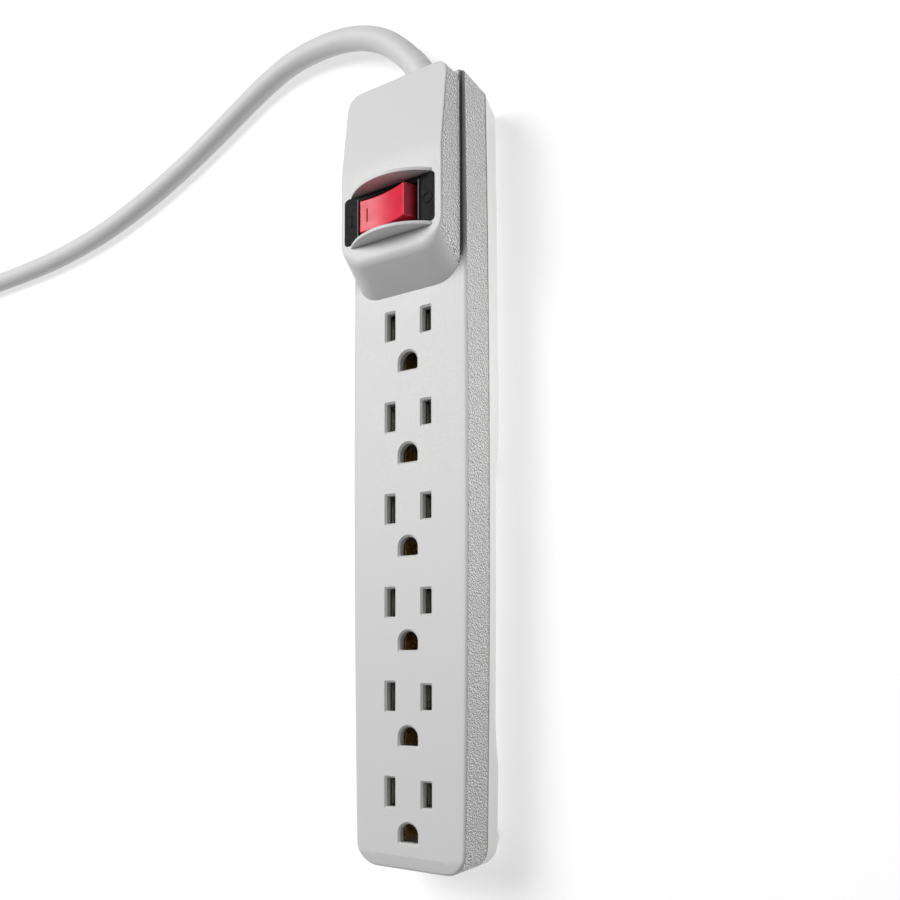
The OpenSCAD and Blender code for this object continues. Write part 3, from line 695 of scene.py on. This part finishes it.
def make_tie():
    """A soft strap round both turns of the coil, with a free end."""
    low, high = box_mm("cord_tie")
    mid_y = COIL_AT[1] - COIL_R + CORD_D / 2
    half_y, half_z = CORD_D + 0.3, CORD_D / 2 + 0.1
    thick, edge = 0.6, 0.2

    def loop(x, grow):
        """The strap's section at x, round both turns and larger by grow."""
        outline = rounded(half_y + grow, half_z + grow, half_z - 0.4 + grow, 8)
        return [(x, mid_y + y, COIL_Z + z) for y, z in outline]

    xs = (low.x + 0.1, low.x + 0.35, high.x - 0.35, high.x - 0.1)
    grows = (thick - edge, thick, thick, thick - edge)
    strap = loft("tie", [loop(x, grow) for x, grow in zip(xs, grows)])
    cut(strap, loft("hole", [loop(x, 0) for x in (low.x - 1, high.x + 1)]))
    root_y = mid_y - half_y - thick + 0.3
    tail = [(root_y, 0.35), (low.y + 0.2, -2.2), (low.y + 0.1, -2.8), (root_y, -0.6)]
    join(strap, loft("tail", [[(x, y, COIL_Z + z) for y, z in tail] for x in xs[1:3]]))
    return finish_piece(smooth(strap, 35), "tie_black", "cord_tie")


PLUG_Z = 10.0
PLUG_TOP = 15.5
PLUG_HALF_X = 13.0
PLUG_NARROWING = 5.2
PLUG_SQUARENESS = 0.55
PLUG_FACE_L = 16.0
PLUG_GRIP_L = 18.0
PLUG_END_R = 6.0


def plug_outline(scale, roundness):
    """The plug's section: a rounded trapezium, which roundness turns into a circle."""
    points = []
    for c, s in circle(1, 48):
        half_x = PLUG_HALF_X - PLUG_NARROWING * max(0.0, s) ** 2
        half_z = PLUG_TOP if s > 0 else PLUG_Z
        x = math.copysign(abs(c) ** PLUG_SQUARENESS, c) * half_x * scale
        z = math.copysign(abs(s) ** PLUG_SQUARENESS, s) * half_z * scale
        points.append((x + (PLUG_END_R * c - x) * roundness, z + (PLUG_END_R * s - z) * roundness))
    return points


def plug_levels():
    """Scale, place along the plug and roundness: a face with a shallow band, then the rippled grip."""
    levels = [(0.955, 0.0, 0), (0.985, 0.35, 0), (1.0, 1.1, 0), (1.0, 5.5, 0), (0.985, 6.2, 0),
              (0.985, 7.2, 0), (1.0, 8.0, 0), (1.0, PLUG_FACE_L, 0)]
    for i in range(1, 13):
        share = i / 12
        eased = share * share * (3 - 2 * share)
        ripple = 0.022 * math.cos(math.tau * share * 5) if share < 0.8 else 0
        levels.append((1.0 - 0.1 * eased + ripple, PLUG_FACE_L + PLUG_GRIP_L * share, eased))
    return levels


def make_plug():
    """A straight moulded plug with a grip and a ringed sleeve, lying with its blades level."""
    at = ((plug_low.x + plug_high.x) / 2, PLUG_Z)
    start = plug_low.y
    rings = [(plug_outline(scale, roundness), start + y) for scale, y, roundness in plug_levels()]
    body = lengthwise_solid("plug", rings, at)
    sleeve = [(5.4, 33), (5.4, 36.0), (5.0, 36.6), (5.3, 37.2), (5.3, 39.2), (4.8, 39.8), (5.1, 40.4),
              (5.0, 42.4), (4.6, 43.0), (4.9, 43.6), (4.7, 45.6), (4.4, 46.2), (4.4, 47.6), (4.2, 48.0)]
    join(body, lengthwise_solid("sleeve", [(circle(r, 40), start + y) for r, y in sleeve], at))
    return finish_piece(smooth(body, 42), "plug_vinyl", "plug_body")


cord = make_cord()
relief = make_relief()
tie = make_tie()
plug = make_plug()

# ---------------------------------------------------------------- housing

WALL = 2.2
FACE_T = 2.5
FACE_UNDER_Z = FACE_Z - FACE_T
CORNER_R = 7.0
CORD_END_R = 2.0
BACK_CORD_END_R = 6.0
WIDEST_Y = 25.0
SIDE_BOW_R = 6500.0
EDGE_R = 1.0
BACK_EDGE_R = 6.0
BEVEL_L = 4.2
BEVEL_DROP = 0.9
BEVEL_FOOT_Z = 14.0
RECESS = 2.2
RECESS_Y = (-80.0, 1.0)
RECESS_RAMP = 7.5
SCREW_X = 14.2
SCREW_YS = (-111.0, 2.64, 111.0)
KEYHOLES = (-101.0, 14.0)
OUTLET_YS = [45.5 - 28.575 * i for i in range(6)]
BLADE_X = 6.35
GROUND_DY = -11.89
RIB_YS = [y - 20.0 for y in OUTLET_YS[:-1]]
RIB_HALF_X = 9.0
RIB_HALF_T = 0.6
FLOOR_T = 2.0
SCREW_PLACES = [(x, y) for x in (-SCREW_X, SCREW_X) for y in SCREW_YS]
BOSS_R = 3.2
BOSS_TOP_Z = FACE_Z - 1.5
HUMP_BOSS_TOP_Z = 31.4
CLAMP_X = 8.5
CLAMP_Y = 103.5
CLAMP_BOSS_TOP_Z = 32.8
PLATE_T = 1.2
PLATE_POCKET = (16.05, 7.5)
PLATE_POCKET_R = 1.4
SWITCH_BODY = (14.4, 7.0)
SWITCH_OPENING = (14.6, 7.15)


def rib(y, low_z, high_z):
    """A rib across the housing's middle."""
    return block((-RIB_HALF_X, y - RIB_HALF_T, low_z), (RIB_HALF_X, y + RIB_HALF_T, high_z))


def side_x(y):
    """Half width of the housing at y: its sides bow a little."""
    return HALF_W - (y - WIDEST_Y) ** 2 / (2 * SIDE_BOW_R)


def half_outline(inset, height, ends=None, side=side_x, corners=(CORNER_R, CORD_END_R)):
    """Right half of a rounded outline, from the middle of its low-Y end to that of its high-Y end.

    The height is a number, or a function of x and y.
    """
    y0, y1 = ends or (-HALF_LEN, HALF_LEN)
    y0, y1 = y0 + inset, y1 - inset
    r0, r1 = (max(r - inset, 1.2) for r in corners)
    x0, x1 = side(y0 + r0) - inset, side(y1 - r1) - inset
    points = [((x0 - r0) * i / 5, y0) for i in range(5)]
    points += moved(arc(r0, -90, 90, 10), x0 - r0, y0 + r0)
    rows = 30
    along = [y0 + r0 + (y1 - r1 - y0 - r0) * i / rows for i in range(1, rows)]
    points += [(side(y) - inset, y) for y in along]
    points += moved(arc(r1, 0, 90, 10), x1 - r1, y1 - r1)
    points += [((x1 - r1) * (4 - i) / 5, y1) for i in range(5)]
    return [(x, y, height(x, y) if callable(height) else height) for x, y in points]


def top_height(level):
    """Height over the face's plan of a ring at level: the face slopes down to its low-Y end."""
    share = min(max((level - BEVEL_FOOT_Z) / (FACE_Z - BEVEL_FOOT_Z), 0), 1)

    def height(x, y):
        into = max(0.0, BEVEL_L - (y + HALF_LEN)) / BEVEL_L
        return level - BEVEL_DROP * into * share

    return height


def front_shell():
    """The front's outside: a fine step at the joint line, upright sides, a rounded edge and the face."""
    rings = [(0.35, SPLIT_Z), (0.35, SPLIT_Z + 0.5), (0.12, SPLIT_Z + 0.55), (0.0, SPLIT_Z + 0.8),
             (0.0, 16.0), (0.0, 20.0), (0.0, FACE_Z - EDGE_R)]
    for i in range(1, 9):
        a = math.pi / 2 * i / 8
        rings.append((EDGE_R * (1 - math.cos(a)), FACE_Z - EDGE_R * (1 - math.sin(a)) - 0.06))
    rings += [(1.8, FACE_Z - 0.02), (2.8, FACE_Z), (4.2, FACE_Z)]
    return shell("front_housing", [half_outline(inset, top_height(z)) for inset, z in rings])


HUMP_SLOPE_Y = 92.5
HUMP_LEAN = 8.0 / HUMP_H
HUMP_DRAFT = 0.5 / HUMP_H
HUMP_FOOT_Y = 55.0
HUMP_FRONT_Y = 63.0
HUMP_CORNERS = (8.0, 4.5)


def hump_top(y, drop=0.0):
    """Height of the switch housing's top at y: level, then sloping down to the cord's end."""
    share = max(0.0, y - HUMP_SLOPE_Y) / (HALF_LEN - HUMP_SLOPE_Y)
    return HUMP_TOP_Z - (HUMP_TOP_Z - HUMP_END_Z) * share - drop


def hump_outline(front_y, half_width, inset=0.0, end_y=HALF_LEN, corners=HUMP_CORNERS):
    """Right half of the switch housing's outline as (x, y)."""
    outline = half_outline(inset, 0, (front_y, end_y), lambda y: half_width, corners)
    return [point[:2] for point in outline]


def rounded_edge(base, top, inner, share):
    """A point on the edge above base and beside inner; the edge is softer at the housing's front."""
    front = max(0.0, min(1.0, (68.5 - top.y) / 4.5))
    reach = 0.55 + 1.5 * front * front * (3 - 2 * front)
    down = top + (base - top).normalized() * reach
    over = top + (inner - top).normalized() * reach
    return tuple(down * (1 - share) ** 2 + top * (2 * share * (1 - share)) + over * share**2)


def hump_shell():
    """The raised switch housing: a slanted front, drafted sides, and a soft front edge."""
    foot_z, edge_steps = FACE_Z - 1.9, 7
    foot = hump_outline(HUMP_FOOT_Y + HUMP_LEAN * (foot_z - FACE_Z), 18.35 - HUMP_DRAFT * (foot_z - FACE_Z))
    base = [Vector((x, y, foot_z)) for x, y in foot]
    upper = [Vector((x, y, hump_top(y))) for x, y in hump_outline(HUMP_FRONT_Y, 17.85)]
    inner = [Vector((x, y, hump_top(y))) for x, y in hump_outline(HUMP_FRONT_Y, 17.85, 4.0)]
    rings = [[tuple(b.lerp(t, share)) for b, t in zip(base, upper)] for share in (0, 0.2, 0.4, 0.6)]
    for step in range(edge_steps + 1):
        rings.append([rounded_edge(b, t, i, step / edge_steps) for b, t, i in zip(base, upper, inner)])
    rings.append([tuple(t.lerp(i, 0.75)) for t, i in zip(upper, inner)])
    return shell("hump", rings)


def hump_hollow():
    """The space inside the switch housing, open to the housing below."""
    end_y, corners = HALF_LEN - WALL, (6.0, 2.5)
    rings = []
    for z in (FACE_Z - 4, HUMP_END_Z - 3):
        outline = hump_outline(57.2 + HUMP_LEAN * (z - FACE_Z), 15.9, 0, end_y, corners)
        rings.append([(x, y, z) for x, y in outline])
    top = hump_outline(65.2, 15.5, 0, end_y, corners)
    rings.append([(x, y, hump_top(y, 2.4)) for x, y in top])
    return shell("hollow", rings)


def guard(side):
    """One of the two arched guards beside the rocker, with a rounded rim."""
    half_chord, rise = 14.5, GUARD_TOP_Z - HUMP_TOP_Z
    middle = SWITCH_X + 0.7
    radius = (half_chord**2 + rise**2) / (2 * rise)
    centre_z = GUARD_TOP_Z - radius
    foot_z = HUMP_TOP_Z - 0.8
    inner_y = SWITCH_Y + side * PLATE_POCKET[1]
    levels = []
    for depth, inset in ((0, 0.28), (0.08, 0.1), (0.28, 0), (0.82, 0), (1.02, 0.1), (1.1, 0.28)):
        r = radius - inset
        half = math.degrees(math.acos((foot_z - centre_z) / r))
        levels.append((arc(r, 90 - half, 2 * half, 48), inner_y + side * depth))
    return lengthwise_solid("guard", levels, (middle, centre_z))


# How far a slot's or a ground hole's outline grows at each height, to bevel its mouth.
MOUTH_LEVELS = [(0, FACE_UNDER_Z - 1), (0, FACE_Z - 0.6), (0.6, FACE_Z), (1.1, FACE_Z + 0.5)]


def slot_tool(x, y, width, length):
    """A blade slot with a bevelled mouth."""
    outlines = []
    for grow, z in MOUTH_LEVELS:
        outline = rounded(width / 2 + grow, length / 2 + grow, 0.2 + grow * 0.5, 3)
        outlines.append((moved(outline, x, y), z))
    return upright_solid("slot", outlines)


def ground_outline(radius, flat):
    """Half round on the cord side, square with slightly soft corners on the other."""
    soft = 0.45
    points = arc(radius, 0, 180, 28)
    for side, start in ((-1, 180), (1, 270)):
        points += moved(arc(soft, start, 90, 4), side * (radius - soft), soft - flat)
    return points


def ground_tool(y):
    """A ground hole with a bevelled mouth."""
    levels = [(moved(ground_outline(3.1 + grow, 2.6 + grow), 0, y), z) for grow, z in MOUTH_LEVELS]
    return upright_solid("ground", levels)


def side_groove(side):
    """The fine dark line along the foot of the switch housing."""
    low, high = sorted((side * 17.95, side * 19.05))
    above = 0.3
    levels = []
    for y, depth in ((62.0, 0.1), (64.5, 0.9), (68.0, 1.5), (HALF_LEN + 1, 1.5)):
        levels.append(([(low, -depth), (high, -depth), (high, above), (low, above)], y))
    return lengthwise_solid("groove", levels, (0, FACE_Z))


def cord_hole():
    """The round hole in the housing's end that the cord's sleeve fills."""
    outline = circle(5.2, 56)
    return lengthwise_solid("hole", [(outline, HALF_LEN - 4), (outline, HALF_LEN + 1)], (EXIT[0], EXIT[2]))


def add_front_bosses(front):
    """Ribs under the face, the cover screws' bosses, and the cord clamp's two bosses and rest."""
    for y in RIB_YS:
        join(front, rib(y, 6.8, BOSS_TOP_Z))
    for x, y in SCREW_PLACES:
        top = HUMP_BOSS_TOP_Z if y > HUMP_FRONT_Y else BOSS_TOP_Z
        join(front, post(x, y, [(BOSS_R, SPLIT_Z), (BOSS_R, top)]))
        cut(front, post(x, y, [(1.55, SPLIT_Z - 1), (1.55, SPLIT_Z + 8)], 24))
    for x in (-CLAMP_X, CLAMP_X):
        join(front, post(x, CLAMP_Y, [(2.4, 12.5), (2.4, CLAMP_BOSS_TOP_Z)]))
        cut(front, post(x, CLAMP_Y, [(1.35, 11.5), (1.35, 20)], 24))
    join(front, block((-3.5, CLAMP_Y - 2.5, 15.0), (3.5, CLAMP_Y + 2.5, CLAMP_BOSS_TOP_Z)))


def cut_outlets(front):
    """Each outlet's neutral slot, the longer one, its hot slot and its ground hole."""
    for y in OUTLET_YS:
        cut(front, slot_tool(-BLADE_X, y, 3.0, 8.6), slot_tool(BLADE_X, y, 3.0, 7.4))
        cut(front, ground_tool(y + GROUND_DY))


def cut_switch_opening(front):
    """The shallow pocket of the switch's plate, and the opening of its body."""
    outline = moved(rounded(*PLATE_POCKET, PLATE_POCKET_R), SWITCH_X, SWITCH_Y)
    cut(front, upright_solid("pocket", [(outline, HUMP_TOP_Z - PLATE_T), (outline, HUMP_TOP_Z + 0.5)]))
    half_x, half_y = SWITCH_OPENING
    low = (SWITCH_X - half_x, SWITCH_Y - half_y, 20)
    high = (SWITCH_X + half_x, SWITCH_Y + half_y, HUMP_TOP_Z)
    cut(front, block(low, high))


def make_front():
    """The front cover: housing, raised switch housing and guards in one, with all its openings."""
    front = front_shell()
    join(front, hump_shell())
    cut(front, shell("hollow", [half_outline(WALL, z) for z in (SPLIT_Z - 1, FACE_UNDER_Z)]), hump_hollow())
    join(front, guard(1), guard(-1))
    add_front_bosses(front)
    cut_outlets(front)
    cut_switch_opening(front)
    cut(front, side_groove(1), side_groove(-1), cord_hole())
    return finish_piece(smooth(front, 28), "cover_plastic", "front_cover")


def back_ring(inset, level):
    """One level of the back; lower down the recess raises its middle and the cord end's corners widen."""
    share = min(max((SPLIT_Z - level) / (SPLIT_Z - BACK_EDGE_R), 0), 1)
    low_y, high_y = RECESS_Y

    def height(x, y):
        into = 1 + min(y - low_y, high_y - y) / RECESS_RAMP
        return level + RECESS * min(max(into, 0), 1) * share

    far_r = CORD_END_R + (BACK_CORD_END_R - CORD_END_R) * share
    return half_outline(inset, height, corners=(CORNER_R, far_r))


def back_rings(inset, floor, top):
    """Half outlines of the back from its floor's middle up to top."""
    radius = BACK_EDGE_R - inset / 2
    rings = [(inset + radius + 2, floor)]
    for i in range(11):
        a = math.pi / 2 * i / 10
        rings.append((inset + radius * (1 - math.sin(a)), floor + radius * (1 - math.cos(a))))
    rings.append((inset, top))
    return [back_ring(i, z) for i, z in rings]


def keyhole_tool(y):
    """Entry and slot of a keyhole, one outline."""
    half_mouth = 33.6
    entry = arc(3.8, 90 + half_mouth, 360 - 2 * half_mouth, 35)
    slot_end = moved(arc(2.1, 0, 180, 16), 0, 6.5)
    outline = moved(entry + slot_end, 0, y)
    return upright_solid("keyhole", [(outline, -1), (outline, FLOOR_T + 0.5)])


def back_lip():
    """The lip inside the joint line, cut away round the front's screw bosses."""
    levels = [(-0.1, 9.0), (-0.1, SPLIT_Z), (0.15, SPLIT_Z), (0.15, 12.6)]
    lip = shell("lip", [half_outline(WALL + inset, z) for inset, z in levels])
    cut(lip, shell("hollow", [half_outline(WALL + 1.1, z) for z in (8, 14)]))
    for x, y in SCREW_PLACES:
        cut(lip, post(x, y, [(3.7, SPLIT_Z), (3.7, 14)]))
    return lip


def add_keyhole(back, y):
    """A pocket on the floor's inside for the nail's head, and the keyhole through the floor."""
    join(back, block((-5.4, y - 5.4, 1.5), (5.4, y + 10.9, 5.3)))
    cut(back, block((-4.2, y - 4.2, FLOOR_T), (4.2, y + 9.7, 4.4)), keyhole_tool(y))


def add_screw_well(back, x, y):
    """A boss with a counterbore for a cover screw's head and a hole for its shank."""
    join(back, post(x, y, [(4.3, 3), (4.3, SPLIT_Z)]))
    cut(back, post(x, y, [(3.6, -1), (3.6, 0.0), (3.3, 0.3), (3.3, 4.5)]))
    cut(back, post(x, y, [(1.7, 4), (1.7, 14)], 24))


def make_back():
    """The back cover: a tray with a lip, ribs, keyholes and screw wells."""
    back = shell("back_housing", back_rings(0, 0, SPLIT_Z))
    cut(back, shell("hollow", back_rings(WALL, FLOOR_T, SPLIT_Z + 1)))
    join(back, back_lip())
    for y in RIB_YS:
        foot_z = 3.2 if RECESS_Y[0] <= y <= RECESS_Y[1] else 1.0
        join(back, rib(y, foot_z, 6.0))
    for y in KEYHOLES:
        add_keyhole(back, y)
    for x, y in SCREW_PLACES:
        add_screw_well(back, x, y)
    cut(back, cord_hole())
    return finish_piece(smooth(back, 28), "back_plastic", "back_cover")


make_front()
make_back()

# ---------------------------------------------------------------- switch

PLATE_HALF = (15.9, 7.35)
PLATE_R = 1.3
FRAME_IN_Y = 5.75
OPENING_X = 10.5
MARK_X = 13.5
BAR_R = 0.28
PIVOT_BORE_R = 1.45
TRUNNION_R = 1.4
TRUNNION_END_Y = 6.9
ROCKER_TILT = -8.0
ROCKER_HALF_Y = 5.0
ROCKER_END_X = 8.7
ROCKER_MIDDLE_Z = 5.3
ROCKER_END_RISE = 1.2


def at_switch(piece):
    """Moves a piece modelled about the switch's middle into place."""
    piece.data.transform(Matrix.Translation(Vector((SWITCH_X, SWITCH_Y, 0)) * MM))
    return piece


def raised_bar(x, half_y, levels):
    """The bar symbol, standing proud, through (inset, z) levels."""
    outlines = [(rounded(0.3 - inset, half_y - inset, BAR_R - inset, 4), z) for inset, z in levels]
    return upright_solid("bar", [(moved(outline, x, 0), z) for outline, z in outlines])


def raised_ring(x, top):
    """The ring symbol, standing proud of the height top."""
    ring = post(x, 0, [(1.75, top - 0.3), (1.75, top + 0.12), (1.65, top + 0.2)])
    return cut(ring, post(x, 0, [(1.1, top - 1), (1.1, top + 0.12), (1.2, top + 0.2), (1.2, top + 1)]))


def opening_lip(side, top):
    """One of the two lips across the ends of the rocker's opening."""
    section = [(0, top - 0.6), (0, top + 0.4), (0.12, top + 0.55), (0.48, top + 0.55), (0.6, top + 0.4),
               (0.75, top - 0.6)]
    outline = [(side * (OPENING_X + x), z) for x, z in section]
    return lengthwise_solid("lip", [(outline, -FRAME_IN_Y - 0.3), (outline, FRAME_IN_Y + 0.3)])


def make_switch_frame():
    """Black plate with rounded corners, its box below, two lips and the bar and ring marks."""
    top, under, low = HUMP_TOP_Z, HUMP_TOP_Z - PLATE_T, plate_low.z
    plate_x, plate_y = PLATE_HALF
    levels = []
    for inset, z in ((0, under), (0, top - 0.2), (0.08, top - 0.05), (0.25, top)):
        levels.append((rounded(plate_x - inset, plate_y - inset, PLATE_R - inset), z))
    plate = upright_solid("switch_plate", levels)
    half_x, half_y = SWITCH_BODY
    join(plate, block((-half_x, -half_y, low), (half_x, half_y, top - 0.5)))
    cut(plate, block((-13.2, -FRAME_IN_Y, low - 1), (13.2, FRAME_IN_Y, under)))
    cut(plate, block((-OPENING_X, -FRAME_IN_Y, low - 1), (OPENING_X, FRAME_IN_Y, top + 2)))
    bore = circle(PIVOT_BORE_R, 32)
    cut(plate, lengthwise_solid("bore", [(bore, -10), (bore, 10)], (0, PIVOT.z)))
    join(plate, opening_lip(-1, top), opening_lip(1, top))
    join(plate, raised_bar(-MARK_X, 2.0, [(0, top - 0.3), (0, top + 0.12), (0.1, top + 0.2)]))
    join(plate, raised_ring(MARK_X, top))
    return finish_piece(smooth(at_switch(plate), 35), "switch_black", "switch_frame")


def rocker_paddle():
    """The rocker's body with a slightly hollow top; its edges are rounded for good, before it is cut."""
    top = []
    for i in range(21):
        share = 1 - i / 10
        top.append((ROCKER_END_X * share, ROCKER_MIDDLE_Z + ROCKER_END_RISE * share**2))
    skirt = [(-9.9, 2.7), (-9.6, 0.2), (-4, -4.1), (4, -4.1), (9.6, 0.2), (9.9, 2.7)]
    outline = top + skirt
    paddle = lengthwise_solid("rocker_paddle", [(outline, -ROCKER_HALF_Y), (outline, ROCKER_HALF_Y)])
    soften(paddle, 0.42, segments=4, angle=30)
    paddle.modifiers.remove(paddle.modifiers["normals"])
    evaluated = paddle.evaluated_get(bpy.context.evaluated_depsgraph_get())
    paddle.data = bpy.data.meshes.new_from_object(evaluated)
    paddle.modifiers.clear()
    return paddle


def make_rocker():
    """The rocker with its trunnions, lamp pockets, plunger sleeve and a raised bar near its low end."""
    rocker = rocker_paddle()
    join(rocker, post(0, 0, [(2.6, -10.1), (2.6, -3)]))
    trunnion = circle(TRUNNION_R, 32)
    for side in (-1, 1):
        ends = sorted((side * (ROCKER_HALF_Y - 0.3), side * TRUNNION_END_Y))
        join(rocker, lengthwise_solid("trunnion", [(trunnion, y) for y in ends]))
        near, far = sorted((side * 3.4, side * 8.4))
        cut(rocker, block((near, -4.3, -6.6), (far, 4.3, 3.4)))
    cut(rocker, post(0, 0, [(1.6, -11), (1.6, -1.1)]))
    join(rocker, raised_bar(-6.3, 2.1, [(0, 5.2), (0, 6.02), (0.12, 6.14)]))
    place = Matrix.Translation(PIVOT * MM) @ Matrix.Rotation(math.radians(ROCKER_TILT), 4, "Y")
    rocker.data.transform(place)
    return finish_piece(smooth(rocker, 32), "rocker_red", "rocker", body="rocker")


make_switch_frame()
make_rocker()

# ---------------------------------------------------------------- pieces kept from the CAD

# How wide each kept piece's rounded edges are; 0 leaves a round or very fine piece as it is.
KEPT_EDGES = {
    "cover_screws": 0.12, "hot_bus": 0.06, "neutral_bus": 0.06, "ground_bus": 0.06, "switch_base": 0.15,
    "plunger": 0.0, "plunger_spring": 0.0, "neon_lamp": 0.0, "lamp_resistor": 0.08, "contact_lever": 0.06,
    "moving_contact": 0.12, "fixed_contact": 0.12, "load_terminal": 0.08, "line_terminal": 0.08,
    "bimetal_strip": 0.05, "pivot_bracket": 0.06, "line_wire": 0.0, "load_wire": 0.0, "neutral_wire": 0.0,
    "ground_wire": 0.0, "cord_clamp": 0.25, "clamp_screws": 0.1, "jacket_end": 0.2, "plug_blades": 0.3,
    "plug_ground_pin": 0.0,
}
MATERIAL_SLOTS = {subpart["node"]: subpart["material_slot"] for subpart in frame["record"]["subparts"]}


def keep_node(name, width):
    """Keeps a CAD node with its slot's material, smooth shading and rounded edges."""
    piece = frame["nodes"][name]
    set_material(piece, MATERIAL_SLOTS[name])
    if width:
        soften(piece, width)
    else:
        shade_smooth_welded(piece)


for kept_name, kept_width in KEPT_EDGES.items():
    keep_node(kept_name, kept_width)
